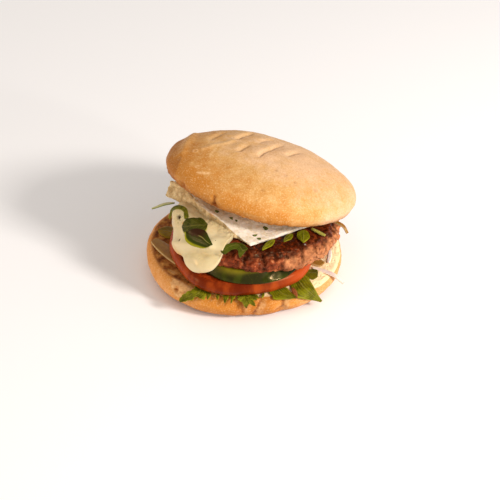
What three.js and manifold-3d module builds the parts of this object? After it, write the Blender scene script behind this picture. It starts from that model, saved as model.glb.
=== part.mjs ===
// A blue cheese burger: a soft bun in two halves round leaves, onion, tomato, cucumber, a beef patty,
// a slab of blue cheese that has begun to melt over the patty's edge, and small herb leaves.
// Sizes are in millimetres. +X is the right, -Y the front and +Z up.
// The origin is the middle of the bottom bun's flat base.
import * as THREE from 'three';
import { mergeVertices } from 'three/addons/utils/BufferGeometryUtils.js';
import { ImprovedNoise } from 'three/addons/math/ImprovedNoise.js';
import Module from 'manifold-3d';

// Driving dimensions
const GAP = 0.3; // air between pieces that rest on each other
const HEEL = {
  // the bottom half of the bun
  halfWidth: 57.5,
  frontDepth: 53.8,
  backDepth: 49,
  height: 15,
  tilt: 3,
  squareness: 2.15,
  // its side: how far each point lies inside the half-width, and its share of the height
  side: [
    [11, 0],
    [5, 0.11],
    [1.7, 0.33],
    [0, 0.6],
    [0.6, 0.83],
    [2.5, 0.96],
    [5, 1],
  ],
  sideSteps: 9,
  cheek: 0.6,
  baseRings: [0.4],
  cutRings: [0.65, 0.32],
  frontSetBack: 2.4,
  columns: 88,
  clefts: [
    { x: -2, depth: 1 },
    { x: 5, depth: 1.6 },
    { x: 11, depth: 0.8 },
    { x: 22, depth: 1.5 },
  ],
  cleftWidth: 2.6,
};
const CROWN = {
  // the top half of the bun, slid back and tipped down to the right
  halfWidth: 57.3,
  halfDepth: 46.6,
  height: 24.7,
  // the tuck under its widest part, as the heel's side is given, in shares of the cheek's height
  tuck: [
    [5.4, 0],
    [1.8, 0.25],
    [0, 1],
  ],
  tuckSteps: 3,
  cheek: 5.4,
  baseRings: [0.45, 0.8],
  fullness: 2.15,
  squareness: 1.85,
  place: [8.6, 7.6, 50],
  roll: 16,
  lift: 10,
  yaw: 10,
  columns: 60,
  rows: 12,
  creaseDepth: 0.9,
  creaseWidth: 3,
};
const TOMATO = {
  radius: 41.2,
  thickness: 8.5,
  place: [-1.8, -8.5, 1.6],
  side: [
    [0.8, 0],
    [0, 0.17],
    [-0.8, 0.5],
    [0, 0.83],
    [0.8, 1],
  ],
  sideSteps: 6,
  faceRings: [0.5],
  bulgeAt: 243,
  bulge: 3.4,
  bulgeSpread: 26,
  columns: 56,
};
const CUCUMBER = {
  // cut on the slant, so that the skin leans out towards the lower face
  thickness: 8.3,
  side: [
    [0.8, 0],
    [0, 0.1],
    [1.1, 0.5],
    [2.2, 0.9],
    [3, 1],
  ],
  faceRings: [0.5],
  columns: 40,
  front: { x: 1.5, y: -26.7, halfWidth: 30, halfDepth: 24 },
  back: { x: -5, y: 16.5, halfWidth: 30, halfDepth: 17 },
};
const PATTY = {
  radius: 46.8,
  thickness: 13.5,
  place: [8, -1.5, 30.5],
  roll: 9,
  side: [
    [6.6, 0],
    [1.6, 0.17],
    [0, 0.45],
    [0.8, 0.75],
    [5.6, 1],
  ],
  sideSteps: 9,
  faceRings: [0.35, 0.65],
  crag: 1.7,
  cragSize: 9,
  cragFrom: 0.8,
  cragFull: 0.97,
  bulgeAt: 243,
  bulge: 3.6,
  bulgeSpread: 34,
  wedge: 5,
  columns: 66,
};
const SLAB = {
  // the cheese slab, in the patty's own frame
  length: 63.5,
  width: 43.1,
  thickness: 6.5,
  place: [-13.9, -7.1],
  turn: -38.5,
  shear: 0.272,
  bow: 0.8,
  droop: 0.006,
  droopFrom: 0.92,
  meltedEnd: 4.6,
  meltedFrom: 0.1,
  unevenness: 0.5,
  waveSize: 14,
  chipSize: 11,
  chipNearness: 6,
  steps: [14, 9, 2],
};
const MELT = {
  // the molten sheet that leaves the slab's long side and runs over the patty's edge
  facing: 231.5,
  start: 32.5,
  thickness: 4.2,
  height: 3.2,
  bend: 6,
  fall: 70,
  unevenness: 0.9,
  lumpSize: 13,
  // depths of both faces under the fold's surface, at the edge and inside, in shares of the thickness
  outer: [0.55, 0.05],
  inner: [0.6, 1],
  edgeShare: 1 / 6,
  columns: 28,
  rows: 11,
  // how far each bearing flows from the patty's axis, measured along the surface
  reach: [
    [189, 47],
    [194, 54],
    [196, 61],
    [201, 62.5],
    [205, 66],
    [209, 69.6],
    [214, 70.2],
    [219, 69.4],
    [224, 72],
    [230, 72.6],
    [236, 70.2],
    [242, 65.3],
    [245, 58],
    [247, 50],
  ],
};

// Leaves and onion lie flat, then fold over the rim of what carries them. Each has its root, the
// bearing that it grows along in degrees, its length and its width. `curl` bends the midrib.
const UNDER_TOMATO = {
  lettuce_left: {
    root: [-14, -24], bearing: 232, length: 35, width: 16, widest: 0.76, teeth: 6, notch: 0.28, ruffle: 1.6,
  },
  lettuce_front: {
    root: [-9, -22], bearing: 268, length: 32.5, width: 13, widest: 0.8, teeth: 5, notch: 0.4, ruffle: 1.2,
  },
  lettuce_middle: {
    root: [2.5, -22], bearing: 269, length: 34, width: 9.5, widest: 0.8, teeth: 5, notch: 0.45, ruffle: 1.4,
  },
  lettuce_right: {
    root: [9, -20], bearing: 294, length: 33.5, width: 13, widest: 0.8, teeth: 2, notch: 0.1, ruffle: 0.8,
  },
  lettuce_large: {
    root: [21, -19], bearing: 290, length: 38, width: 13, widest: 0.6, tip: 1.2, curl: 58, ruffle: 0.7,
  },
  lettuce_small: { root: [29, -17], bearing: 316, length: 18, width: 6, widest: 0.62, ruffle: 0.5 },
  leaf_back: { root: [-33, 5], bearing: 168, length: 18.5, width: 11, widest: 0.6, ruffle: 0.6 },
  onion_left: {
    root: [-33, -24.5], bearing: 130, length: 31, width: 9, blunt: true, thickness: 1,
  },
  onion_right: {
    root: [31, -9], bearing: 337, length: 17, width: 8, blunt: true, curl: -12, thickness: 1,
  },
  onion_strip: {
    root: [51.2, -3], bearing: 266, length: 12.3, width: 1.7, blunt: true, curl: -8, thickness: 1.1,
  },
};
const PAST_HEEL = {
  onion_arc: {
    root: [39.9, -20.9], bearing: 342, length: 20.5, width: 2.3, blunt: true, curl: -16, thickness: 1.1,
  },
};
const ON_MELT = {
  herb_lobe: { root: [-43, -24], bearing: 107, length: 21, width: 4, curl: 76, ruffle: 0.8 },
  herb_upper: { root: [-31, -30.5], bearing: 181, length: 18, width: 11.5, widest: 0.5, ruffle: 0.7 },
  herb_lower: {
    root: [-43, -33.5], bearing: 327, length: 18, width: 10.5, widest: 0.5, ruffle: 2.2, lift: 1.9,
  },
};
const ON_PATTY = {
  herb_hook: { root: [-22.5, -45.5], bearing: 58, length: 19, width: 5, curl: -160, ruffle: 0.7 },
  herb_sprig: { root: [7, -31.8], bearing: 237, length: 13, width: 3.8, ruffle: 0.5 },
  herb_bud: { root: [17.3, -24.6], bearing: 238, length: 9.5, width: 3.8, ruffle: 0.5 },
  herb_round: { root: [24, -19.8], bearing: 266, length: 11.5, width: 7.4, ruffle: 0.8 },
  herb_stem: {
    root: [28.7, -17.4], bearing: 328, length: 9, width: 2, blunt: true, thickness: 1.2,
  },
};
const OVER_EDGE = {
  herb_blade: { root: [-50.2, -7.6], bearing: 184, length: 13.5, width: 2, thickness: 0.9 },
};
const PAST_PATTY = {
  onion_strand: { root: [39, -5.3], bearing: 326, length: 14.5, width: 2.2, blunt: true, thickness: 1.3 },
};
const LEAF = {
  thickness: 0.8,
  narrowest: 0.35, // half-width where a leaf comes to its tip
  rowLength: 3,
  fewestRows: 6,
  waveLength: 11,
  fewestWaves: 1.5,
  columns: { broad: 4, slim: 2 },
  broadFrom: 8.5,
  bluntEnd: 0.06,
  bluntness: 0.35,
};
const PRESSED = { growth: GAP * 1.4, detail: 0.02 };

const COLOURS = {
  crust: { color: '#dc9f5c', roughness: 0.55 },
  tomato: { color: '#a93f1c', roughness: 0.25 },
  cucumber: { color: '#465212', roughness: 0.3 },
  patty: { color: '#7a3a1c', roughness: 0.75 },
  cheese: { color: '#e6d9c6', roughness: 0.6 },
  melt: { color: '#d8c092', roughness: 0.35 },
  leaf: { color: '#5f6a14', roughness: 0.45 },
  herb: { color: '#4a5a16', roughness: 0.5 },
  stem: { color: '#b9b56a', roughness: 0.5 },
  onion: { color: '#d9c9ae', roughness: 0.35 },
};

const radians = THREE.MathUtils.degToRad;
const perlin = new ImprovedNoise();
const manifold = await Module();
manifold.setup();

// A bell of height 1 round `middle`
function bell(value, middle, spread) {
  return Math.exp(-(((value - middle) / spread) ** 2));
}

// Uneven relief between about -1 and 1, with lumps of the given size
function lumps(point, size, layer = 0) {
  return perlin.noise(point.x / size + layer, point.y / size - layer, point.z / size + layer);
}

// Bearing of a plan point in degrees, from 0 up to 360
function bearingOf(x, y) {
  return THREE.MathUtils.euclideanModulo(THREE.MathUtils.radToDeg(Math.atan2(y, x)), 360);
}

// One closed mesh with shared corners and no empty triangles
function welded(geometry) {
  geometry.deleteAttribute('normal');
  geometry.deleteAttribute('uv');
  const merged = mergeVertices(geometry);
  const corners = merged.index.array;
  const kept = [];
  for (let i = 0; i < corners.length; i += 3) {
    const [a, b, c] = [corners[i], corners[i + 1], corners[i + 2]];
    if (a !== b && b !== c && c !== a) kept.push(a, b, c);
  }
  merged.setIndex(kept);
  return merged;
}

// Moves every corner of a mesh by a function that changes the point it is given
function shaped(geometry, change) {
  const positions = geometry.attributes.position;
  const point = new THREE.Vector3();
  for (let i = 0; i < positions.count; i += 1) {
    point.fromBufferAttribute(positions, i);
    change(point);
    positions.setXYZ(i, point.x, point.y, point.z);
  }
  return geometry;
}

// The [radius, height] pairs of a side that is given as [inset, share of the height] pairs
function sideOf(pairs, width, height) {
  return pairs.map(([inset, share]) => [width - inset, share * height]);
}

// The rings of a level face, from the axis out
function faceOf(shares, width, height) {
  return [0, ...shares].map((share) => [share * width, height]);
}

// A body turned about Z from [radius, height] pairs that run from the axis below to the axis above
function turned(profile, columns) {
  const outline = profile.map(([radius, height]) => new THREE.Vector2(radius, height));
  return welded(new THREE.LatheGeometry(outline, columns).rotateX(Math.PI / 2));
}

// Points of a smooth curve through [radius, height] pairs
function smooth(pairs, steps) {
  const curve = new THREE.SplineCurve(pairs.map(([radius, height]) => new THREE.Vector2(radius, height)));
  return curve.getPoints(steps).map(({ x, y }) => [x, y]);
}

// How far a rounded square reaches past the circle that it replaces; an exponent of 2 is the circle
function roundness(x, y, exponent) {
  const distance = Math.hypot(x, y);
  if (distance === 0) return 1;
  return (Math.abs(x / distance) ** exponent + Math.abs(y / distance) ** exponent) ** (-1 / exponent);
}

// The bottom bun's radius at a plan bearing: an oval, a little square, deeper in front
function heelRadius(x, y) {
  const distance = Math.hypot(x, y);
  if (distance === 0) return HEEL.halfWidth;
  const depth = y < 0 ? HEEL.frontDepth : HEEL.backDepth;
  const across = Math.abs(x / distance / HEEL.halfWidth) ** HEEL.squareness;
  const along = Math.abs(y / distance / depth) ** HEEL.squareness;
  return (across + along) ** (-1 / HEEL.squareness);
}

function bunBottom() {
  const { halfWidth, height, side, sideSteps, cheek, frontSetBack, clefts, cleftWidth } = HEEL;
  const profile = [
    ...faceOf(HEEL.baseRings, halfWidth, 0),
    ...smooth(sideOf(side, halfWidth, height), sideSteps),
    ...faceOf(HEEL.cutRings.toReversed(), halfWidth, height).reverse(),
  ];
  return shaped(turned(profile, HEEL.columns), (point) => {
    const distance = Math.hypot(point.x, point.y);
    const front = Math.max(0, -point.y / (distance || 1));
    const level = point.z / height;
    const aboveCheek = Math.max(0, level - cheek) / (1 - cheek);
    const belly = Math.sin(Math.PI * THREE.MathUtils.clamp(level, 0, 1));
    let scale = heelRadius(point.x, point.y) / halfWidth;
    scale -= (front * aboveCheek * frontSetBack) / halfWidth;
    for (const { x, depth } of clefts) {
      scale -= (front ** 2 * belly * depth * bell(point.x, x, cleftWidth)) / halfWidth;
    }
    point.x *= scale;
    point.y *= scale;
    point.z -= point.x * Math.tan(radians(HEEL.tilt)) * Math.min(1, level) ** 2;
  });
}

// Creases in the top bun's crust, where the dough was folded: plan ends of each
const CREASES = [
  { from: [-36, 12], to: [-14, 26] },
  { from: [-24, 6], to: [2, 20] },
  { from: [-2, 8], to: [22, 18] },
  { from: [18, 4], to: [34, 10] },
];

function bunTop() {
  const { halfWidth, halfDepth, height, cheek, fullness, squareness, columns, rows } = CROWN;
  const underside = faceOf(CROWN.baseRings, halfWidth, 0);
  const tuck = smooth(sideOf(CROWN.tuck, halfWidth, cheek), CROWN.tuckSteps);
  const dome = [];
  for (let row = 1; row <= rows; row += 1) {
    const angle = (Math.PI / 2) * (row / rows);
    const radius = row < rows ? halfWidth * Math.cos(angle) ** (2 / fullness) : 0;
    dome.push([radius, cheek + (height - cheek) * Math.sin(angle) ** (2 / fullness)]);
  }
  return shaped(turned([...underside, ...tuck, ...dome], columns), (point) => {
    const scale = roundness(point.x, point.y, squareness);
    point.x *= scale;
    point.y *= (scale * halfDepth) / halfWidth;
    if (point.z <= cheek) return;
    for (const { from, to } of CREASES) {
      const line = new THREE.Line3(new THREE.Vector3(...from, 0), new THREE.Vector3(...to, 0));
      const flat = new THREE.Vector3(point.x, point.y, 0);
      const near = line.closestPointToPoint(flat, true, new THREE.Vector3());
      point.z -= CROWN.creaseDepth * bell(flat.distanceTo(near), 0, CROWN.creaseWidth);
    }
  });
}

function tomatoSlice() {
  const { radius, thickness, side, sideSteps, faceRings, bulgeAt, bulge, bulgeSpread, columns } = TOMATO;
  const profile = [
    ...faceOf(faceRings, radius, 0),
    ...smooth(sideOf(side, radius, thickness), sideSteps),
    ...faceOf(faceRings, radius, thickness).reverse(),
  ];
  return shaped(turned(profile, columns), (point) => {
    const scale = 1 + (bulge / radius) * bell(bearingOf(point.x, point.y), bulgeAt, bulgeSpread);
    point.x *= scale;
    point.y *= scale;
  });
}

function cucumberSlice({ halfWidth, halfDepth }) {
  const { thickness, side, faceRings, columns } = CUCUMBER;
  const profile = [
    ...faceOf(faceRings, halfWidth, 0),
    ...sideOf(side, halfWidth, thickness),
    ...faceOf(faceRings, halfWidth, thickness).reverse(),
  ];
  return shaped(turned(profile, columns), (point) => {
    point.y *= halfDepth / halfWidth;
  });
}

function pattyDisc() {
  const { radius, thickness, faceRings, crag, cragSize, cragFrom, cragFull, wedge } = PATTY;
  const { bulgeAt, bulge, bulgeSpread } = PATTY;
  const profile = [
    ...faceOf(faceRings, radius, 0),
    ...smooth(sideOf(PATTY.side, radius, thickness), PATTY.sideSteps),
    ...faceOf(faceRings, radius, thickness).reverse(),
  ];
  return shaped(turned(profile, PATTY.columns), (point) => {
    const outward = THREE.MathUtils.smoothstep(Math.hypot(point.x, point.y) / radius, cragFrom, cragFull);
    const coarse = lumps(point, cragSize);
    const fine = lumps(point, cragSize / 2, 1);
    const swell = bulge * bell(bearingOf(point.x, point.y), bulgeAt, bulgeSpread);
    const scale = 1 + (outward * crag * (coarse + fine / 2) + swell) / radius;
    point.x *= scale;
    point.y *= scale;
    point.z -= Math.max(0, -point.x) * Math.tan(radians(wedge)) * (1 - point.z / thickness);
  });
}

// The slab lies on the patty, sheared in plan, bowed along its left side, sagging past the patty's rim
function cheeseSlab() {
  const { length, width, thickness, shear, bow, unevenness, chipNearness, steps, droop } = SLAB;
  const block = welded(new THREE.BoxGeometry(length, width, thickness, ...steps));
  block.translate(0, 0, thickness / 2);
  const carrier = new THREE.Vector2(...SLAB.place);
  return shaped(block, (point) => {
    const along = point.x / (length / 2);
    const across = point.y / (width / 2);
    const chip = unevenness * lumps(point, SLAB.chipSize, 2) * 2;
    point.x += point.y * shear + chip * Math.abs(along) ** chipNearness;
    point.y -= across < 0 ? bow * (1 - along ** 2) * -across : 0;
    point.y += chip * Math.abs(across) ** chipNearness;
    const plan = new THREE.Vector2(point.x, point.y);
    plan.rotateAround(new THREE.Vector2(), radians(SLAB.turn)).add(carrier);
    const past = Math.max(0, plan.length() - PATTY.radius * SLAB.droopFrom);
    const level = point.z / thickness;
    const thinned = SLAB.meltedEnd * THREE.MathUtils.smoothstep(along, SLAB.meltedFrom, 1);
    point.z += level * (unevenness * lumps(point, SLAB.waveSize, 3) - thinned) - droop * past ** 2;
  });
}

// A rim that flat food folds over: level out to `radius`, round a bend, then down a slope
function foldOver(x, y, lift, rim) {
  const distance = Math.hypot(x, y);
  const radius = rim.radius(x, y);
  const fall = radians(rim.fall);
  const past = Math.max(0, distance - radius);
  const turn = Math.min(past / rim.bend, fall);
  const straight = Math.max(0, past - rim.bend * fall);
  const outward = Math.min(distance, radius) + rim.bend * Math.sin(turn) + straight * Math.cos(fall);
  const drop = rim.bend * (1 - Math.cos(turn)) + straight * Math.sin(fall);
  const heading = new THREE.Vector3(x, y, 0).divideScalar(distance || 1);
  const normal = heading.clone().multiplyScalar(Math.sin(turn));
  normal.z = Math.cos(turn);
  const point = heading.multiplyScalar(outward);
  point.z = rim.height - drop;
  return { point: point.addScaledVector(normal, lift), normal };
}

// How open a leaf is beside the tomato: flat under it, free past its edge
function clearOfTomato(x, y) {
  const [middleX, middleY] = TOMATO.place;
  const past = Math.hypot(x - middleX, y - middleY) - TOMATO.radius - TOMATO.bulge;
  return THREE.MathUtils.smoothstep(past, 0.5, 4);
}

const onHeelRim = (x, y) => heelRadius(x, y) - 3.4;
const HEEL_RIM = { radius: onHeelRim, bend: 4.6, fall: 74, height: GAP, open: clearOfTomato };
const ARC_RIM = { radius: onHeelRim, bend: 16, fall: 32, height: GAP };
const MELT_RIM = {
  radius: () => PATTY.radius - 1.5,
  bend: MELT.bend,
  fall: MELT.fall,
  height: PATTY.thickness + MELT.height,
};
const PATTY_RIM = { radius: () => PATTY.radius - 2.5, bend: 5, fall: 66, height: PATTY.thickness + 0.8 };
const BLADE_RIM = { radius: () => 50, bend: 16, fall: 34, height: PATTY.thickness - 0.5 };
const STRAND_RIM = { radius: () => PATTY.radius, bend: 4, fall: 46, height: PATTY.thickness + 1 };

// A thin solid from a grid of places: each gives the corner of its outer and of its inner face.
// Both faces are split into triangles alike and a wall closes the edge.
function thinSolid(rows, columns, placeAt) {
  const positions = [];
  const corners = [];
  const across = columns + 1;
  const layer = (rows + 1) * across;
  for (const face of ['outer', 'inner']) {
    for (let row = 0; row <= rows; row += 1) {
      for (let column = 0; column <= columns; column += 1) {
        positions.push(...placeAt(row / rows, column / columns)[face].toArray());
      }
    }
  }
  for (let row = 0; row < rows; row += 1) {
    for (let column = 0; column < columns; column += 1) {
      const a = row * across + column;
      const b = a + across;
      corners.push(a, b, b + 1, a, b + 1, a + 1);
      corners.push(layer + a, layer + b + 1, layer + b, layer + a, layer + a + 1, layer + b + 1);
    }
  }
  const edge = [];
  for (let row = 0; row < rows; row += 1) edge.push(row * across);
  for (let column = 0; column < columns; column += 1) edge.push(rows * across + column);
  for (let row = rows; row > 0; row -= 1) edge.push(row * across + columns);
  for (let column = columns; column > 0; column -= 1) edge.push(column);
  edge.forEach((a, place) => {
    const b = edge[(place + 1) % edge.length];
    corners.push(layer + a, layer + b, b, layer + a, b, a);
  });
  const geometry = new THREE.BufferGeometry();
  geometry.setAttribute('position', new THREE.Float32BufferAttribute(positions, 3));
  geometry.setIndex(corners);
  return geometry;
}

// Half-width of a leaf along its midrib: a stem end, the blade with its teeth, and a tip
function leafHalfWidth(share, { width, blunt, widest = 0.45, tip = 0.7, teeth = 0, notch = 0 }) {
  const skew = Math.log(0.5) / Math.log(widest);
  const blade = blunt
    ? Math.sin(Math.PI * (LEAF.bluntEnd + (1 - 2 * LEAF.bluntEnd) * share)) ** LEAF.bluntness
    : Math.sin(Math.PI * Math.min(1, share ** skew)) ** tip;
  const cut = 1 - notch * (0.5 - 0.5 * Math.cos(2 * Math.PI * teeth * share));
  return Math.max(LEAF.narrowest, (width / 2) * blade * cut);
}

// A leaf, or an onion strip, laid over a rim. Its edges rise in ruffles where it lies open.
function leafOver(rim, leaf) {
  const { root, bearing, length, curl = 0, ruffle = 0, lift = 0 } = leaf;
  const rows = Math.max(LEAF.fewestRows, Math.round(length / LEAF.rowLength));
  const columns = leaf.width > LEAF.broadFrom ? LEAF.columns.broad : LEAF.columns.slim;
  const waves = Math.max(LEAF.fewestWaves, length / LEAF.waveLength);
  const midrib = [];
  const place = new THREE.Vector2(...root);
  for (let row = 0; row <= rows; row += 1) {
    const heading = radians(bearing + curl * (row / rows));
    midrib.push({ place: place.clone(), heading });
    place.x += (length / rows) * Math.cos(heading);
    place.y += (length / rows) * Math.sin(heading);
  }
  return thinSolid(rows, columns, (share, across) => {
    const { place: middle, heading } = midrib[Math.round(share * rows)];
    const side = 2 * across - 1;
    const reach = side * leafHalfWidth(share, leaf);
    const x = middle.x - reach * Math.sin(heading);
    const y = middle.y + reach * Math.cos(heading);
    const wave = 0.5 + 0.5 * Math.sin(2 * Math.PI * waves * share + side);
    const height = lift + ruffle * Math.abs(side) * (rim.open ? rim.open(x, y) : 1) * wave;
    const { point, normal } = foldOver(x, y, height, rim);
    const outer = point.clone().addScaledVector(normal, leaf.thickness ?? LEAF.thickness);
    return { inner: point, outer };
  });
}

// The molten sheet: it starts under the slab's long side and thins out to a rounded edge
function cheeseMelt() {
  const { facing, start, thickness, unevenness, lumpSize, columns, rows, reach, edgeShare } = MELT;
  const ends = new THREE.SplineCurve(reach.map(([bearing, far]) => new THREE.Vector2(bearing, far)));
  return thinSolid(rows, columns, (outward, around) => {
    const end = ends.getPoint(around);
    const angle = radians(end.x);
    const near = start / Math.cos(radians(end.x - facing));
    const distance = near + (Math.max(end.y, near + 2) - near) * outward;
    const x = distance * Math.cos(angle);
    const y = distance * Math.sin(angle);
    const margin = Math.min(1 - outward, 2 * around, 2 * (1 - around));
    const full = Math.sqrt(1 - (1 - THREE.MathUtils.clamp(margin / edgeShare, 0, 1)) ** 2);
    const { point, normal } = foldOver(x, y, 0, MELT_RIM);
    const relief = unevenness * lumps(point, lumpSize, 4);
    const depthOf = (face) => relief - thickness * THREE.MathUtils.lerp(...MELT[face], full);
    return {
      outer: point.clone().addScaledVector(normal, depthOf('outer')),
      inner: point.clone().addScaledVector(normal, depthOf('inner')),
    };
  });
}

function asSolid(geometry) {
  return new manifold.Manifold(
    new manifold.Mesh({
      numProp: 3,
      vertProperties: new Float32Array(geometry.attributes.position.array),
      triVerts: new Uint32Array(geometry.index.array),
    }),
  );
}

function asGeometry(solid) {
  const { vertProperties, triVerts } = solid.getMesh();
  const geometry = new THREE.BufferGeometry();
  geometry.setAttribute('position', new THREE.BufferAttribute(vertProperties, 3));
  geometry.setIndex(new THREE.BufferAttribute(triVerts, 1));
  return geometry;
}

// The same body with its skin moved out by a distance
function swollen(geometry, distance) {
  const grown = geometry.clone();
  grown.computeVertexNormals();
  const normals = grown.attributes.normal;
  const push = new THREE.Vector3();
  let corner = 0;
  return shaped(grown, (point) => {
    point.addScaledVector(push.fromBufferAttribute(normals, corner), distance);
    corner += 1;
  });
}

// Soft food takes the shape of what it lies on: the neighbours, grown by the gap, are cut from it
function pressOnto(piece, neighbours) {
  piece.updateWorldMatrix(true, false);
  const home = piece.matrixWorld.clone().invert();
  let solid = asSolid(piece.geometry);
  for (const neighbour of neighbours) {
    neighbour.updateWorldMatrix(true, false);
    const form = swollen(neighbour.geometry, PRESSED.growth);
    solid = solid.subtract(asSolid(form.applyMatrix4(neighbour.matrixWorld).applyMatrix4(home)));
  }
  const bodies = solid.decompose().sort((a, b) => b.volume() - a.volume());
  piece.geometry = asGeometry(bodies[0].simplify(PRESSED.detail));
}

function material(finish) {
  return new THREE.MeshStandardMaterial({ ...COLOURS[finish], metalness: 0 });
}

function piece(name, geometry, finish, parent, place = [0, 0, 0]) {
  const mesh = new THREE.Mesh(geometry, material(finish));
  mesh.name = name;
  mesh.position.set(...place);
  parent.add(mesh);
  return mesh;
}

const FINISHES = { onion: 'onion', lettuce: 'leaf', leaf: 'leaf', herb: 'herb' };

function leaves(table, rim, parent) {
  return Object.entries(table).map(([name, leaf]) => {
    const finish = name === 'herb_stem' ? 'stem' : FINISHES[name.split('_')[0]];
    return piece(name, leafOver(rim, leaf), finish, parent);
  });
}

// The stack, from the bottom up
const group = new THREE.Group();
piece('bun_bottom', bunBottom(), 'crust', group);

const onHeel = new THREE.Group();
onHeel.position.set(0, 0, HEEL.height);
onHeel.rotation.set(0, radians(HEEL.tilt), 0);
group.add(onHeel);
leaves(UNDER_TOMATO, HEEL_RIM, onHeel);
leaves(PAST_HEEL, ARC_RIM, onHeel);
const tomato = piece('tomato', tomatoSlice(), 'tomato', onHeel, TOMATO.place);
const cucumberHeight = TOMATO.place[2] + TOMATO.thickness + GAP;
const cucumbers = ['front', 'back'].map((end) => {
  const spot = CUCUMBER[end];
  const place = [spot.x, spot.y, cucumberHeight];
  return piece(`cucumber_${end}`, cucumberSlice(spot), 'cucumber', onHeel, place);
});

const onCucumber = new THREE.Group();
onCucumber.position.set(...PATTY.place);
onCucumber.rotation.set(0, radians(PATTY.roll), 0);
group.add(onCucumber);
const patty = piece('patty', pattyDisc(), 'patty', onCucumber);
const slabPlace = [...SLAB.place, PATTY.thickness + GAP];
const slab = piece('cheese_slab', cheeseSlab(), 'cheese', onCucumber, slabPlace);
slab.rotation.z = radians(SLAB.turn);
const melt = piece('cheese_melt', cheeseMelt(), 'melt', onCucumber);
const onMelt = leaves(ON_MELT, MELT_RIM, onCucumber);
const onPatty = leaves(ON_PATTY, PATTY_RIM, onCucumber);
const blades = leaves(OVER_EDGE, BLADE_RIM, onCucumber);
const strands = leaves(PAST_PATTY, STRAND_RIM, onCucumber);

const crown = piece('bun_top', bunTop(), 'crust', group, CROWN.place);
crown.rotation.set(-radians(CROWN.lift), radians(CROWN.roll), radians(CROWN.yaw));

cucumbers.forEach((slice) => pressOnto(slice, [patty]));
pressOnto(slab, [patty]);
pressOnto(crown, [slab, patty]);
pressOnto(melt, [patty, slab, tomato, cucumbers[0]]);
onMelt.forEach((leaf) => pressOnto(leaf, [melt, slab]));
[...onPatty, ...blades, ...strands].forEach((leaf) => pressOnto(leaf, [patty, slab, melt]));

export default group;
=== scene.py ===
"""The looks of a blue cheese burger: a soft bun round salad, a beef patty and a melting slab of cheese.

Shapes are worked out in millimetres, in the frame of the solids, and stored in metres.
"""

import itertools
import logging
import math
from collections.abc import Callable
from dataclasses import dataclass, field, replace
from enum import Enum
from functools import partial

import bpy
import numpy as np
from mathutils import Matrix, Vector


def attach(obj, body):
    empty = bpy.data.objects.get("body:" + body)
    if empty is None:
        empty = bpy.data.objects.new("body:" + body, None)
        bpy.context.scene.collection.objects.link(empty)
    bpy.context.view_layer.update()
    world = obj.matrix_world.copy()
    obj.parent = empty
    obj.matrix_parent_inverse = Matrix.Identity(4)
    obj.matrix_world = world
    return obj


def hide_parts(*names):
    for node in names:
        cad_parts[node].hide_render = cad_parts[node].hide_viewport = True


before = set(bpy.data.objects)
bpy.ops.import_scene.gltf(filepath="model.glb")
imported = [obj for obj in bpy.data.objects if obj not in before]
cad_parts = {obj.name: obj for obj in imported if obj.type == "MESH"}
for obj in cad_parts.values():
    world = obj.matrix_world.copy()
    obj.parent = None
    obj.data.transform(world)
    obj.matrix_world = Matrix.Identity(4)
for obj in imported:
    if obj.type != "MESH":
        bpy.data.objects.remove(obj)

LOG = logging.getLogger("burger")
MM = 0.001
X, Y, Z = range(3)
ROOT = "root"
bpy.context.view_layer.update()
SOFT_RADIUS = (0.003, 0.002, 0.001)
WARM_SHEEN = "#ffd9a6"

Triple = tuple[float, float, float]
Knots = tuple[tuple[float, ...], ...]


def turn_about(axis: int, degrees: float) -> np.ndarray:
    """Give the matrix that turns points about one axis.

    Args:
        axis: X, Y or Z.
        degrees: The angle.

    Returns:
        A 3 by 3 matrix.
    """
    first, second = (axis + 1) % 3, (axis + 2) % 3
    cosine, sine = math.cos(math.radians(degrees)), math.sin(math.radians(degrees))
    matrix = np.eye(3)
    matrix[first, first] = matrix[second, second] = cosine
    matrix[first, second], matrix[second, first] = -sine, sine
    return matrix


def bell(value: np.ndarray, middle: float = 0.0, spread: float = 1.0) -> np.ndarray:
    """Give a bell of height 1 round a middle value."""
    return np.exp(-(((value - middle) / spread) ** 2))


def ease(value: np.ndarray, low: float, high: float) -> np.ndarray:
    """Rise smoothly from 0 at low to 1 at high."""
    share = np.clip((value - low) / (high - low), 0.0, 1.0)
    return share * share * (3.0 - 2.0 * share)


def unit(value: np.ndarray) -> np.ndarray:
    """Keep values between 0 and 1."""
    return np.clip(value, 0, 1)


def bearing_of(x: np.ndarray, y: np.ndarray) -> np.ndarray:
    """Give the plan bearing of points in degrees, from 0 up to 360."""
    return np.degrees(np.arctan2(y, x)) % 360.0


def smooth(pairs: list[tuple[float, float]], steps: int) -> np.ndarray:
    """Follow a smooth curve through [radius, height] pairs.

    Args:
        pairs: The points that the curve passes through.
        steps: How many steps it is cut into.

    Returns:
        steps + 1 points.
    """
    knots = np.array(pairs, dtype=float)
    last = len(knots) - 1
    reach = np.linspace(0.0, last, steps + 1)
    start = np.minimum(reach.astype(int), last - 1)
    part = (reach - start)[:, None]
    before, here = knots[np.maximum(start - 1, 0)], knots[start]
    there, after = knots[start + 1], knots[np.minimum(start + 2, last)]
    leaving, arriving = (there - before) / 2, (after - here) / 2
    return (
        (2 * here - 2 * there + leaving + arriving) * part**3
        + (3 * there - 3 * here - 2 * leaving - arriving) * part**2
        + leaving * part
        + here
    )


@dataclass
class Nearness:
    """How far points are from a line: the distance, its sign across the line and the share along it."""

    away: np.ndarray
    side: np.ndarray
    share: np.ndarray


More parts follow.
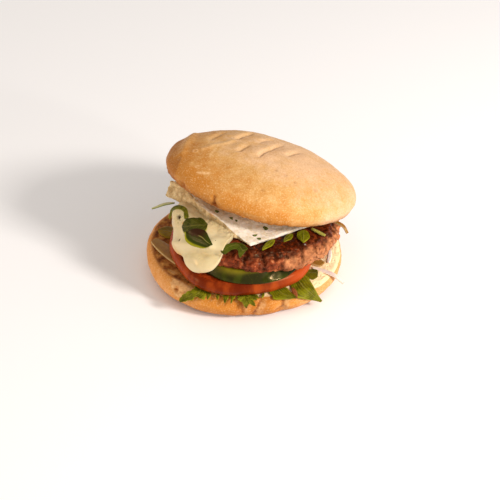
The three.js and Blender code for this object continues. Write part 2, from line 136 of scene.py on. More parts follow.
def near_line(points: np.ndarray, knots: Knots) -> Nearness:
    """Measure points against a line through knots.

    Args:
        points: Places with two or three coordinates.
        knots: The line's corners, in as many coordinates.

    Returns:
        The nearness; its sign is positive to the left of the line in plan.
    """
    line = np.array(knots, dtype=float)
    lengths = np.linalg.norm(np.diff(line, axis=0), axis=1)
    before = np.concatenate([[0], np.cumsum(lengths)])
    best = Nearness(np.full(len(points), 1e9), np.zeros(len(points)), np.zeros(len(points)))
    for index, length in enumerate(lengths):
        way = line[index + 1] - line[index]
        part = np.clip((points - line[index]) @ way / length**2, 0, 1)
        gap = points - line[index] - part[:, None] * way
        away = np.linalg.norm(gap, axis=1)
        nearer = away < best.away
        cross = way[0] * gap[:, 1] - way[1] * gap[:, 0]
        best.away = np.where(nearer, away, best.away)
        best.side = np.where(nearer, np.sign(cross), best.side)
        best.share = np.where(nearer, (before[index] + part * length) / before[-1], best.share)
    return best


def spots(points: np.ndarray, places: Knots) -> np.ndarray:
    """Give bells of height 1 round places.

    Args:
        points: Places in millimetres.
        places: X, Y, Z and spread of each bell.

    Returns:
        The highest bell at each point.
    """
    total = np.zeros(len(points))
    for x, y, z, spread in places:
        total = np.maximum(total, bell(np.linalg.norm(points - (x, y, z), axis=1), 0, spread))
    return total


class Grain:
    """Seeded noise, worked out for many points at once."""

    def __init__(self, seed: int) -> None:
        """Draw the slopes and the order that the noise repeats.

        Args:
            seed: Where the draws start.
        """
        draw = np.random.default_rng(seed)
        self.order = draw.permutation(256)
        slopes = draw.normal(size=(256, 3))
        self.slopes = slopes / np.linalg.norm(slopes, axis=1, keepdims=True)
        self.spots = draw.random(size=(256, 3))

    def _key(self, cell: np.ndarray) -> np.ndarray:
        """Give each cell of the grid its own draw."""
        order = self.order
        return order[(order[(order[cell[:, 0] & 255] + cell[:, 1]) & 255] + cell[:, 2]) & 255]

    def at(self, points: np.ndarray, size: float, layers: int = 1) -> np.ndarray:
        """Give smooth noise between about -1 and 1.

        Args:
            points: Places in millimetres.
            size: The size of the lumps.
            layers: How many finer copies are added, each half as strong.

        Returns:
            One value a point.
        """
        total = np.zeros(len(points))
        for layer in range(layers):
            scaled = points * (2**layer / size) + 17.3 * layer
            cell = np.floor(scaled).astype(int)
            part = scaled - cell
            blend = part**3 * (part * (part * 6 - 15) + 10)
            for corner in itertools.product((0, 1), repeat=3):
                weight = np.prod(np.where(corner, blend, 1 - blend), axis=1)
                slope = self.slopes[self._key(cell + corner)]
                total += weight * np.einsum("ij,ij->i", slope, part - corner) * 1.5 / 2**layer
        return total

    def lumps(self, points: np.ndarray, size: float) -> np.ndarray:
        """Give packed round lumps: 1 at a lump's middle, falling to about 0 in the clefts between.

        Args:
            points: Places in millimetres.
            size: The distance between lumps.

        Returns:
            One value a point.
        """
        scaled = points / size
        cell = np.floor(scaled).astype(int)
        nearest = np.full(len(points), 9.0)
        second = np.full(len(points), 9.0)
        for corner in itertools.product((-1, 0, 1), repeat=3):
            spot = cell + corner + self.spots[self._key(cell + corner)]
            away = np.linalg.norm(scaled - spot, axis=1)
            second = np.minimum(second, np.maximum(nearest, away))
            nearest = np.minimum(nearest, away)
        return np.clip((second - nearest) * 1.6, 0.0, 1.0)


def stand(name: str, data: bpy.types.ID) -> bpy.types.Object:
    """Add an object at the origin of the scene.

    Args:
        name: Its name.
        data: Its mesh, light or camera.

    Returns:
        The object.
    """
    obj = bpy.data.objects.new(name, data)
    bpy.context.scene.collection.objects.link(obj)
    return obj


@dataclass
class Place:
    """Where a piece's own frame stands in the burger's."""

    origin: Triple
    turn: np.ndarray

    def out(self, points: np.ndarray) -> np.ndarray:
        """Bring points of this frame into the burger's."""
        return points @ self.turn.T + np.array(self.origin)


@dataclass
class Form:
    """A shape in the making: its corners in millimetres, its faces and the marks that paint it."""

    points: np.ndarray
    faces: list[np.ndarray]
    marks: dict[str, np.ndarray] = field(default_factory=dict)

    def normals(self) -> np.ndarray:
        """Give the outward direction at each corner.

        Returns:
            Unit vectors.
        """
        total = np.zeros_like(self.points)
        for block in self.faces:
            first, second = self.points[block[:, 0]], self.points[block[:, 1]]
            third, last = self.points[block[:, 2]], self.points[block[:, -1]]
            legs = (third - first, last - second) if block.shape[1] == 4 else (second - first, third - first)
            across = np.cross(*legs)
            for column in range(block.shape[1]):
                np.add.at(total, block[:, column], across)
        return total / np.maximum(np.linalg.norm(total, axis=1, keepdims=True), 1e-9)

    def swell(self, height: np.ndarray) -> None:
        """Move each corner outwards by its own height."""
        self.points = self.points + self.normals() * height[:, None]

    def at(self, place: Place) -> "Form":
        """Give the same form, moved out of its own frame."""
        return replace(self, points=place.out(self.points))

    def piece(self, name: str, finish: bpy.types.Material) -> bpy.types.Object:
        """Make the form an object at the origin.

        Args:
            name: The object's name.
            finish: Its material.

        Returns:
            The new object, smooth and in metres.
        """
        faces = list(itertools.chain.from_iterable(block.tolist() for block in self.faces))
        mesh = bpy.data.meshes.new(name)
        mesh.from_pydata((self.points * MM).tolist(), [], faces)
        mesh.polygons.foreach_set("use_smooth", [True] * len(mesh.polygons))
        for mark, values in self.marks.items():
            layer = mesh.attributes.new(mark, "FLOAT", "POINT")
            layer.data.foreach_set("value", np.asarray(values, dtype=np.float32))
        mesh.materials.append(finish)
        mesh.validate()
        mesh.update()
        return stand(name, mesh)


def lathe(profile: np.ndarray, columns: int) -> Form:
    """Turn a profile about Z into a closed body.

    Args:
        profile: [radius, height] pairs from the axis below to the axis above.
        columns: How many faces go round.

    Returns:
        The form, with its rings in order from below.
    """
    rings = np.asarray(profile, dtype=float)[1:-1]
    angle = np.linspace(0.0, 2 * math.pi, columns, endpoint=False)
    wide, high = rings[:, 0][:, None], rings[:, 1][:, None]
    body = np.stack([wide * np.cos(angle), wide * np.sin(angle), high + 0 * angle], axis=-1).reshape(-1, 3)
    below, above = [0.0, 0.0, profile[0][1]], [0.0, 0.0, profile[-1][1]]
    points = np.vstack([body, below, above])
    here = np.arange(columns)
    after = (here + 1) % columns
    row = (np.arange(len(rings) - 1) * columns)[:, None]
    quads = np.stack([row + here, row + after, row + columns + after, row + columns + here], axis=-1)
    top = (len(rings) - 1) * columns
    floor = np.stack([np.full(columns, len(body)), after, here], axis=-1)
    roof = np.stack([np.full(columns, len(body) + 1), top + here, top + after], axis=-1)
    return Form(points, [quads.reshape(-1, 4), floor, roof])


def flat(start: float, end: float, height: float, steps: int) -> np.ndarray:
    """Give the rings of a level face, from one radius to another."""
    return np.stack([np.linspace(start, end, steps), np.full(steps, height)], axis=-1)


def disc(side: np.ndarray, under: int, over: int, columns: int) -> Form:
    """Close the profile of a side with level faces and turn it about Z.

    Args:
        side: [radius, height] pairs from the lower rim to the upper one.
        under: How many rings the lower face has.
        over: How many the upper face has.
        columns: How many faces go round.

    Returns:
        The form.
    """
    (foot, low), (top, high) = side[0], side[-1]
    profile = [flat(0, foot, low, under)[:-1], side, flat(top, 0, high, over)[1:]]
    return lathe(np.vstack(profile), columns)


def sheet(outer: np.ndarray, inner: np.ndarray) -> Form:
    """Close two matching grids of corners into a thin solid.

    Args:
        outer: Rows by columns of corners on the face that looks out.
        inner: The same on the face that looks in.

    Returns:
        The form; marks are in the order outer, then inner.
    """
    rows, columns = outer.shape[:2]
    first = (np.arange(rows - 1)[:, None] * columns + np.arange(columns - 1)).ravel()
    face = np.stack([first, first + columns, first + columns + 1, first + 1], axis=-1)
    layer = rows * columns
    down = np.arange(rows) * columns
    edge = np.concatenate(
        [
            down[:-1],
            (rows - 1) * columns + np.arange(columns - 1),
            (down + columns - 1)[:0:-1],
            np.arange(columns - 1, 0, -1),
        ]
    )
    after = np.roll(edge, -1)
    wall = np.stack([layer + edge, layer + after, after, edge], axis=-1)
    points = np.vstack([outer.reshape(-1, 3), inner.reshape(-1, 3)])
    return Form(points, [face, layer + face[:, ::-1], wall])


def rounded_block(half: Triple, radius: float, steps: tuple[int, int, int]) -> Form:
    """Make a block with rounded edges from six grids that share their edges.

    Args:
        half: Half of each size.
        radius: The radius of its edges.
        steps: How many faces run along each axis.

    Returns:
        The form, centred on the origin.
    """
    corners: list[np.ndarray] = []
    faces: list[np.ndarray] = []
    for axis, side in itertools.product(range(3), (-1.0, 1.0)):
        first, second = (axis + 1) % 3, (axis + 2) % 3
        u, v = np.meshgrid(
            np.linspace(-1, 1, steps[first] + 1), np.linspace(-1, 1, steps[second] + 1), indexing="ij"
        )
        grid = np.zeros((u.size, 3))
        grid[:, axis], grid[:, first], grid[:, second] = side, u.ravel(), v.ravel()
        start = sum(len(block) for block in corners)
        across = steps[second] + 1
        low = (np.arange(steps[first])[:, None] * across + np.arange(steps[second])).ravel() + start
        quad = np.stack([low, low + across, low + across + 1, low + 1], axis=-1)
        faces.append(quad if side > 0 else quad[:, ::-1])
        corners.append(grid)
    points, index = np.unique(np.round(np.vstack(corners), 6), axis=0, return_inverse=True)
    size = np.array(half)
    points = points * size
    core = np.clip(points, -(size - radius), size - radius)
    away = points - core
    length = np.maximum(np.linalg.norm(away, axis=1, keepdims=True), 1e-9)
    points = core + away / length * np.minimum(length, radius)
    return Form(points, [index.reshape(-1)[block] for block in faces])


def paint(code: str) -> tuple[float, ...]:
    """Turn a hex colour into the linear colour that a node takes.

    Args:
        code: The colour, such as #ffffff.

    Returns:
        Red, green, blue and alpha.
    """
    parts = [int(code[at : at + 2], 16) / 255 for at in (1, 3, 5)]
    linear = [part / 12.92 if part <= 0.04045 else ((part + 0.055) / 1.055) ** 2.4 for part in parts]
    return (*linear, 1.0)


class Socket:
    """A value that varies over a surface; Python's operators on it add Math nodes."""

    def __init__(self, recipe: "Recipe", link: bpy.types.NodeSocket) -> None:
        """Wrap an output socket."""
        self.recipe = recipe
        self.link = link

    def _math(self, operation: str, *values: "Socket | float") -> "Socket":
        """Add one Math node."""
        return self.recipe.make("ShaderNodeMath", {"operation": operation}, dict(enumerate(values)))

    def __add__(self, other: "Socket | float") -> "Socket":
        """Add."""
        return self._math("ADD", self, other)

    def __sub__(self, other: "Socket | float") -> "Socket":
        """Take away."""
        return self._math("SUBTRACT", self, other)

    def __rsub__(self, other: "Socket | float") -> "Socket":
        """Take this away from a number."""
        return self._math("SUBTRACT", other, self)

    def __mul__(self, other: "Socket | float") -> "Socket":
        """Multiply."""
        return self._math("MULTIPLY", self, other)

    def __abs__(self) -> "Socket":
        """Drop the sign."""
        return self._math("ABSOLUTE", self)

    def wave(self) -> "Socket":
        """Give the sine."""
        return self._math("SINE", self)

    def part(self) -> "Socket":
        """Give the part after the point."""
        return self._math("FRACT", self)

    def eased(self, low: float, high: float, start: float = 0.0, end: float = 1.0) -> "Socket":
        """Rise or fall smoothly between two values.

        Args:
            low: Where it starts.
            high: Where it ends.
            start: The result up to low.
            end: The result from high.

        Returns:
            The eased value.
        """
        return self.recipe.make(
            "ShaderNodeMapRange",
            {"interpolation_type": "SMOOTHSTEP"},
            {"Value": self, "From Min": low, "From Max": high, "To Min": start, "To Max": end},
        )


class Recipe:
    """Writes one material's nodes."""

    def __init__(self, name: str) -> None:
        """Start a material with a Principled shader.

        Args:
            name: Its name.
        """
        self.material = bpy.data.materials.new(name)
        self.material.use_nodes = True
        self.tree = self.material.node_tree
        self.shader = self.tree.nodes["Principled BSDF"]

    def make(
        self,
        kind: str,
        settings: dict[str, object] | None = None,
        values: dict[int | str, object] | None = None,
        out: int | str = 0,
    ) -> Socket:
        """Add a node.

        Args:
            kind: The node's type.
            settings: Its own settings, set first. `stops` fills a colour ramp.
            values: A value or a Socket for each input.
            out: The output that is handed back.

        Returns:
            That output.
        """
        node = self.tree.nodes.new(kind)
        for name, value in (settings or {}).items():
            if name == "stops":
                self._stops(node.color_ramp, value)
            else:
                setattr(node, name, value)
        for key, value in (values or {}).items():
            self.feed(node.inputs[key], value)
        return Socket(self, node.outputs[out])

    @staticmethod
    def _stops(ramp: bpy.types.ColorRamp, stops: list[tuple[float, str]]) -> None:
        """Fill a colour ramp.

        Args:
            ramp: The ramp.
            stops: Places from 0 to 1 and hex colours.
        """
        while len(ramp.elements) < len(stops):
            ramp.elements.new(1.0)
        for element, (place, code) in zip(ramp.elements, stops):
            element.position = place
            element.color = paint(code)

    def feed(self, socket: bpy.types.NodeSocket, value: object) -> None:
        """Link a Socket to an input, or set the input's own value.

        Args:
            socket: The input.
            value: The Socket or the value.
        """
        if isinstance(value, Socket):
            self.tree.links.new(value.link, socket)
        else:
            socket.default_value = value

    def here(self) -> Socket:
        """Give the place on the piece, in metres."""
        return self.make("ShaderNodeTexCoord", out="Object")

    def stretched(self, scale: Triple) -> Socket:
        """Give the place with each axis stretched."""
        return self.make("ShaderNodeMapping", None, {"Vector": self.here(), "Scale": scale})

    def noise(
        self, size: float, detail: float = 3.0, rough: float = 0.55, where: Socket | None = None
    ) -> Socket:
        """Give cloudy noise from 0 to 1.

        Args:
            size: The size of its lumps in millimetres.
            detail: How many finer layers it has.
            rough: How strong the finer layers are.
            where: The place that it is read at, or None for the place on the piece.

        Returns:
            The noise.
        """
        values = {
            "Vector": where or self.here(),
            "Scale": 1 / (size * MM),
            "Detail": detail,
            "Roughness": rough,
        }
        return self.make("ShaderNodeTexNoise", None, values)

    def cells(self, size: float) -> Socket:
        """Give the distance to the middle of cells of a size in millimetres."""
        values = {"Vector": self.here(), "Scale": 1 / (size * MM)}
        return self.make("ShaderNodeTexVoronoi", {"feature": "F1"}, values, "Distance")

    def mark(self, name: str) -> Socket:
        """Read one of the piece's own marks."""
        return self.make("ShaderNodeAttribute", {"attribute_name": name}, None, "Fac")

    def blend(self, share: Socket | float, first: object, second: object) -> Socket:
        """Mix two colours; each is a Socket or a hex code."""
        pair = [value if isinstance(value, Socket) else paint(value) for value in (first, second)]
        return self.make("ShaderNodeMix", {"data_type": "RGBA"}, {0: share, 6: pair[0], 7: pair[1]}, 2)

    def tones(self, share: Socket, stops: list[tuple[float, str]]) -> Socket:
        """Spread a value over a ramp of colours."""
        return self.make("ShaderNodeValToRGB", {"stops": stops}, {"Fac": share})

    def relief(self, height: Socket, depth: float, strength: float = 1.0) -> Socket:
        """Turn a height from 0 to 1 into relief of a depth in millimetres."""
        values = {"Height": height, "Distance": depth * MM, "Strength": strength}
        return self.make("ShaderNodeBump", None, values)

    def done(self, **inputs: object) -> bpy.types.Material:
        """Feed the shader and give the material.

        Args:
            inputs: A value or a Socket for each input, its spaces written as underscores.

        Returns:
            The finished material.
        """
        self.feed(self.shader.inputs["Specular Tint"], paint(WARM_SHEEN))
        for name, value in inputs.items():
            self.feed(self.shader.inputs[name.replace("_", " ")], value)
        return self.material


@dataclass(frozen=True)
class Crust:
    """Baked crust, a toasted cut face and the pale crumb where the crust is torn, with painted shade and
    painted highlights laid in by its marks.
    """

    name: str
    pale: str = "#d6ae86"
    main: str = "#c99a5e"
    brown: str = "#bf803c"
    # Burnt spots, and the colour that painted shade is laid in.
    burnt_and_shade: str = "#7d3f14"
    speckle: str = "#f3d0a0"
    torn: str = "#dcae78"
    inside: str = "#c08a58"
    crumb: str = "#f7ddb0"
    toasted: tuple[str, str, str] = ("#bd8443", "#8f5320", "#57260b")
    pore_shade: str = "#8a5222"

    def make(self) -> bpy.types.Material:
        """Write the material; it reads the marks bake, dark, flour, torn, cut and toast.

        Returns:
            The finished material.
        """
        ink = Recipe(self.name)
        broad, fine, grit = ink.noise(20, 3), ink.noise(2.4, 4, 0.6), ink.noise(0.8, 2)
        patch = ink.noise(8, 3, 0.55)
        # The baking tone also carries painted light and shade: paler on the lit sides, browner on the shaded
        # left and low front.
        bake_and_light = ink.mark("bake_and_light") + (broad - 0.5) * 0.7 + (patch - 0.5) * 0.9 + (fine - 0.5) * 0.6
        skin = ink.tones(bake_and_light, [(0.0, self.pale), (0.5, self.main), (1.0, self.brown)])
        skin = ink.blend(grit.eased(0.5, 0.75, 0.0, 0.35), skin, self.speckle)
        skin = ink.blend(grit.eased(0.5, 0.25, 0.0, 0.5), skin, self.brown)
        skin = ink.blend(ink.cells(5).eased(0.03, 0.14, 0.3, 0.0), skin, self.burnt_and_shade)
        # The dark mark lays this colour as painted shade in cracks, pits, notches and below folds, over the
        # shaded ends and low rims, and along the toasted left rim of the bottom bun.
        skin = ink.blend(ink.mark("dark") * fine.eased(0.2, 0.6, 0.6, 1.0), skin, self.burnt_and_shade)
        # Pale speckle for flour smears, and for painted highlights on fold banks, the ridge and the right
        # banks of cracks.
        skin = ink.blend(ink.mark("flour_and_highlight") * ink.noise(1.3, 3).eased(0.3, 0.6, 0.25, 1.0), skin, self.speckle)
        bare = ink.blend(ink.noise(2, 4, 0.65).eased(0.35, 0.62), self.inside, self.torn)
        skin = ink.blend(ink.mark("torn") * fine.eased(0.25, 0.5, 0.7, 1.0), skin, bare)
        pores = ink.cells(1.7).eased(0.08, 0.5)
        toast = ink.mark("toast") * ink.noise(5.5, 4).eased(0.28, 0.68, 0.35, 1.0)
        face = ink.tones(toast, list(zip((0.0, 0.4, 0.72, 1.0), (self.crumb, *self.toasted))))
        # Pore middles darkened: painted shade inside the crumb's holes.
        face = ink.blend(pores.eased(0.0, 0.5, 0.22, 0.0), face, self.pore_shade)
        cut = ink.mark("cut")
        height = (grit * 0.3 + ink.noise(4.5, 3) * 0.7) * (1 - cut) + (pores * 0.8 + fine * 0.6) * cut
        return ink.done(
            Base_Color=ink.blend(cut, skin, face),
            Roughness=fine.eased(0.2, 0.8, 0.42, 0.6) + cut * 0.15,
            Normal=ink.relief(height, 0.6, 0.5),
            Specular_IOR_Level=0.18,
        )


@dataclass(frozen=True)
class TomatoFinish:
    """Glossy red skin round wet flesh."""

    name: str = "tomato"
    # The lighter orange of painted light.
    painted_light: str = "#b4481a"
    skin: str = "#6c2206"
    deep: str = "#571302"
    light: str = "#9a3f12"
    flesh: str = "#a03c14"
    speck: str = "#c07038"

    def make(self) -> bpy.types.Material:
        """Write the material; it reads the marks skin and ripe.

        Returns:
            The finished material.
        """
        ink = Recipe(self.name)
        streak = ink.noise(9, 3, 0.5, ink.stretched((1, 1, 0.3)))
        red = ink.tones(streak.eased(0.25, 0.75), [(0.0, self.deep), (0.6, self.skin), (1.0, self.light)])
        red = ink.blend(ink.cells(1.1).eased(0.04, 0.14, 1.0, 0.0) * 0.15, red, self.speck)
        # Lighter orange on the right and left of the slice: painted light where the lamps fall.
        red = ink.blend(ink.mark("painted_light"), red, self.painted_light)
        flesh = ink.blend(ink.noise(2.4, 4).eased(0.35, 0.65), self.flesh, self.skin)
        return ink.done(
            Base_Color=ink.blend(ink.mark("skin"), flesh, red),
            Roughness=ink.noise(5, 2).eased(0.3, 0.7, 0.22, 0.34),
            Normal=ink.relief(ink.noise(1.3, 2), 0.1, 0.4),
            Specular_IOR_Level=0.14,
        )


@dataclass(frozen=True)
class CucumberFinish:
    """Dark green rind with paler lengthwise streaks, and wet pale flesh."""

    name: str = "cucumber"
    rind: str = "#171d01"
    streak: str = "#323c03"
    flesh: str = "#6f6610"
    edge: str = "#625709"

    def make(self) -> bpy.types.Material:
        """Write the material; it reads the marks rind and edge.

        Returns:
            The finished material.
        """
        ink = Recipe(self.name)
        lines = ink.noise(7, 2, 0.5, ink.stretched((1, 1, 0.3)))
        green = ink.blend(lines.eased(0.4, 0.7), self.rind, self.streak)
        green = ink.blend(ink.cells(1.4).eased(0.05, 0.2, 0.3, 0.0), green, self.edge)
        flesh = ink.blend(ink.noise(3, 3).eased(0.3, 0.7), self.flesh, self.edge)
        return ink.done(
            Base_Color=ink.blend(ink.mark("rind"), flesh, green),
            Roughness=lines.eased(0.2, 0.8, 0.12, 0.2),
            Normal=ink.relief(ink.noise(3, 2), 0.04, 0.5),
            Specular_IOR_Level=0.25,
        )


@dataclass(frozen=True)
class Meat:
    """Coarse mince, seared dark on top and moist at its sides."""

    name: str = "patty"
    sear: str = "#471403"
    deep: str = "#682711"
    main: str = "#8c3d1e"
    light: str = "#b4663c"
    fat: str = "#d39a70"
    raw_and_light: str = "#c88557"
    char: str = "#2a0a02"
    ember: str = "#75300f"
    shaded_cleft: str = "#2d0d03"
    painted_glint: str = "#f6efe6"

    def make(self) -> bpy.types.Material:
        """Write the material; it reads the marks sear, cleft, raw and salt.

        Returns:
            The finished material.
        """
        ink = Recipe(self.name)
        grain, patch = ink.noise(2.6, 5, 0.6), ink.noise(6.5, 3)
        side = ink.tones(
            (grain * 0.5 + patch * 0.5).eased(0.34, 0.72),
            [(0.0, self.sear), (0.3, self.deep), (0.58, self.main), (0.84, self.light), (1.0, self.fat)],
        )
        side = ink.blend(grain.eased(0.6, 0.72) * 0.3, side, self.fat)
        # Pinker over the torn crater, and paler on the lit right side: painted light.
        side = ink.blend(ink.mark("raw_and_light") * grain.eased(0.3, 0.6, 0.4, 1.0), side, self.raw_and_light)
        crust = ink.tones(grain.eased(0.35, 0.7), [(0.0, self.char), (0.5, self.sear), (1.0, self.ember)])
        colour = ink.blend(ink.mark("sear") * ink.noise(5, 4).eased(0.22, 0.5, 0.55, 1.0), side, crust)
        # Dark in the clefts and between the lumps: painted shade.
        colour = ink.blend(ink.mark("shaded_cleft") * 0.8, colour, self.shaded_cleft)
        # White spots where the meat glints: painted highlights.
        colour = ink.blend(ink.mark("painted_glint"), colour, self.painted_glint)
        height = grain * 0.7 + ink.cells(1.7).eased(0.0, 0.7, 1.0, 0.0) * 0.4
        return ink.done(
            Base_Color=colour,
            Roughness=ink.noise(2.2, 3).eased(0.35, 0.65, 0.3, 0.55),
            Normal=ink.relief(height, 0.8, 0.6),
            Specular_IOR_Level=0.22,
        )


@dataclass(frozen=True)
class CheeseFinish:
    """White rind over a creamy paste with pockets of blue mould."""

    name: str = "cheese"
    rind: str = "#e6dfd3"
    paste: str = "#dfc79a"
    mould: str = "#66705a"
    worn: str = "#d2c3a8"
    aged: str = "#d8bd92"
    fleck: str = "#a08a5e"
    crumb: str = "#b99b6c"
    stain: str = "#c4701c"
    shaded_crack: str = "#5a3a1c"

    def make(self) -> bpy.types.Material:
        """Write the material; it reads the marks cut, blue, stain and crack.

        Returns:
            The finished material.
        """
        ink = Recipe(self.name)
        down = ink.noise(3.4, 4, 0.6)
        rind = ink.blend(down.eased(0.4, 0.7), self.rind, self.worn)
        rind = ink.blend(ink.noise(14, 2).eased(0.55, 0.75, 0.0, 0.35), rind, self.aged)
        flecks = ink.noise(1.1, 3).eased(0.56, 0.7, 0.0, 0.4) * down.eased(0.35, 0.6)
        rind = ink.blend(flecks, rind, self.fleck)
        paste = ink.blend(ink.noise(3, 4, 0.65).eased(0.35, 0.65), self.paste, self.crumb)
        veins = ink.noise(2.8, 3).eased(0.6, 0.68)
        paste = ink.blend(veins * ink.mark("blue") * 0.8, paste, self.mould)
        colour = ink.blend(ink.mark("cut"), rind, paste)
        colour = ink.blend(ink.mark("stain") * down.eased(0.25, 0.5), colour, self.stain)
        # Dark colour in the torn corner's crack: painted shade.
        colour = ink.blend(ink.mark("shaded_crack"), colour, self.shaded_crack)
        height = down * 0.6 + ink.noise(0.9, 3) * 0.4
        return ink.done(
            Base_Color=colour,
            Roughness=down.eased(0.2, 0.8, 0.5, 0.7),
            Normal=ink.relief(height, 0.8, 0.6),
            Subsurface_Weight=0.1,
            Subsurface_Radius=SOFT_RADIUS,
        )


@dataclass(frozen=True)
class MeltFinish:
    """Molten cheese: smooth, cream and softly glossy."""

    name: str = "melt"
    main: str = "#d6c79f"
    warm: str = "#c2ab79"
    mould: str = "#7f8460"
    rind: str = "#9c8a5f"
    browned: str = "#c98936"
    chives: str = "#69752c"
    # Near black: the painted shade inside the holes.
    hole: str = "#2c1c10"

    def make(self) -> bpy.types.Material:
        """Write the material; it reads the marks rind, fleck, browned and chives.

        Returns:
            The finished material.
        """
        ink = Recipe(self.name)
        cloud = ink.noise(9, 3, 0.5)
        colour = ink.blend(cloud.eased(0.35, 0.7, 0.0, 0.5), self.main, self.warm)
        colour = ink.blend(ink.noise(2.6, 3).eased(0.69, 0.76, 0.0, 0.5), colour, self.mould)
        grain = ink.noise(0.9, 3).eased(0.35, 0.7, 0.25, 1.0)
        colour = ink.blend(ink.mark("rind") * grain, colour, self.rind)
        colour = ink.blend(ink.mark("browned") * ink.noise(2.5, 3).eased(0.35, 0.6), colour, self.browned)
        colour = ink.blend(ink.mark("chives") * ink.noise(1.4, 2).eased(0.5, 0.6), colour, self.chives)
        # The sunk holes painted near black: painted shade inside them.
        colour = ink.blend(ink.mark("fleck"), colour, self.hole)
        return ink.done(
            Base_Color=colour,
            Roughness=cloud.eased(0.2, 0.8, 0.2, 0.3) + ink.mark("rind") * 0.3,
            Normal=ink.relief(ink.noise(4.5, 2) + ink.noise(0.9, 3) * ink.mark("rind"), 0.4, 0.6),
            Subsurface_Weight=0.15,
            Subsurface_Radius=SOFT_RADIUS,
            Specular_IOR_Level=0.5,
        )


@dataclass(frozen=True)
class LeafFinish:
    """A leaf: blade, paler midrib and side veins."""

    name: str
    blade: str = "#46560a"
    young_and_highlight: str = "#7f8c12"
    rib: str = "#a9ad45"
    veins: float = 7.0
    slant: float = 0.35
    ribbed: float = 0.6
    mottle: float = 1.0
    grooved: float = 0.0

    def make(self) -> bpy.types.Material:
        """Write the material; it reads the marks along, side and rim.

        Returns:
            The finished material.
        """
        ink = Recipe(self.name)
        along, side = ink.mark("along"), ink.mark("side")
        blotch = ink.noise(4, 3)
        green = ink.blend(blotch.eased(0.32, 0.7) * self.mottle, self.blade, self.young_and_highlight)
        # Paler rim: the young edge of most leaves, and a painted highlight along the folded herb's lower
        # edge.
        green = ink.blend(ink.mark("rim"), green, self.young_and_highlight)
        rib = abs(side).eased(0.02, 0.1, 1.0, 0.0)
        saw = abs((along * self.veins - abs(side) * (self.slant * self.veins)).part() - 0.5)
        vein = saw.eased(0.4, 0.5) * abs(side).eased(0.75, 1.0, 1.0, 0.0)
        green = ink.blend(vein * (self.ribbed * 0.5), green, self.rib)
        green = ink.blend(rib * self.ribbed, green, self.rib)
        groove = (side * 26).wave() * 0.5 + 0.5
        green = ink.blend(groove.eased(0.5, 1.0) * self.grooved, green, self.young_and_highlight)
        height = ink.noise(1.6, 3) * 0.4 + rib * 0.8 + vein * 0.6 + groove * self.grooved
        return ink.done(
            Base_Color=green,
            Roughness=blotch.eased(0.2, 0.8, 0.3, 0.46),
            Normal=ink.relief(height, 0.45, 0.6),
            Specular_IOR_Level=0.2,
        )


@dataclass(frozen=True)
class CupFinish:
    """The cupped leaf: painted shade in dark red over its hollow, dark green at its far end and lime along
    its raised rim.
    """

    name: str
    # The dark red of the painted shade in the cup.
    inside: str = "#2c1004"
    blade: str = "#2a3503"
    lime: str = "#8c8a12"
    rib: str = "#a89a50"

    def make(self) -> bpy.types.Material:
        """Write the material; it reads the marks along, side and rim.

        Returns:
            The finished material.
        """
        ink = Recipe(self.name)
        along, side, cloud = ink.mark("along"), ink.mark("side"), ink.noise(2.4, 3)
        # Dark red over the hollow of the cup: painted shade.
        cup_shade = abs(along - 0.34).eased(0.08, 0.4, 1.0, 0.0) * (cloud + side * 0.7).eased(0.4, 0.75)
        colour = ink.blend(cup_shade, self.blade, self.inside)
        stem = abs(side - 0.3).eased(0.02, 0.07, 1.0, 0.0) * along.eased(0.4, 0.5, 0.0, 1.0)
        colour = ink.blend(stem * 0.5, colour, self.rib)
        colour = ink.blend(ink.mark("rim"), colour, self.lime)
        return ink.done(
            Base_Color=colour,
            Roughness=cloud.eased(0.2, 0.8, 0.3, 0.45),
            Normal=ink.relief(cloud + stem, 0.4, 0.6),
            Specular_IOR_Level=0.25,
        )


@dataclass(frozen=True)
class OnionFinish:
    """Onion: half clear, with pale lengthwise lines."""

    name: str
    flesh: str = "#99702f"
    line: str = "#e0c491"
    tint: str = "#8a5d26"
    lined: float = 0.0

    def make(self) -> bpy.types.Material:
        """Write the material; it reads the marks side and rim.

        Returns:
            The finished material.
        """
        ink = Recipe(self.name)
        side = ink.mark("side")
        lines = (side * 11 + ink.noise(5, 2) * 3).wave() * 0.5 + 0.5
        colour = ink.blend(ink.noise(5, 3).eased(0.35, 0.65), self.flesh, self.tint)
        colour = ink.blend(lines.eased(0.6, 1.0) * self.lined, colour, self.line)
        colour = ink.blend(ink.mark("rim") * 0.6, colour, self.line)
        return ink.done(
            Base_Color=colour,
            Roughness=lines.eased(0.0, 1.0, 0.26 - 0.2 * self.lined, 0.26 + 0.2 * self.lined),
            Normal=ink.relief(lines, 0.3 * self.lined, 0.5),
            Subsurface_Weight=0.2,
            Subsurface_Radius=SOFT_RADIUS,
        )


@dataclass(frozen=True)
class SpeckFinish:
    """Small crumbs and flecks: one tone with a little cloud in it."""

    name: str
    main: str
    second: str
    roughness: float = 0.6

    def make(self) -> bpy.types.Material:
        """Write the material.

        Returns:
            The finished material.
        """
        ink = Recipe(self.name)
        cloud = ink.noise(1.1, 2)
        return ink.done(
            Base_Color=ink.blend(cloud.eased(0.35, 0.65), self.main, self.second),
            Roughness=cloud.eased(0.2, 0.8, self.roughness - 0.1, self.roughness + 0.1),
            Normal=ink.relief(ink.noise(0.5, 2), 0.15, 0.6),
        )


def settle(piece: bpy.types.Object, slot: str, *nodes: str) -> None:
    """Fix a piece to the burger and report it.

    Args:
        piece: The finished object.
        slot: The record's material slot that it belongs to; not used.
        nodes: The solids that it stands for.
    """
    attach(piece, ROOT)
    if nodes:
        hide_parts(*nodes)
    LOG.info("%s: %d faces", piece.name, len(piece.data.polygons))


RIPPLES_PER_MM = 1.6
RIPPLE_DEPTH = 0.9


class Shape(Enum):
    """The small forms that are strewn."""

    LUMP = "lump"
    FLAKE = "flake"


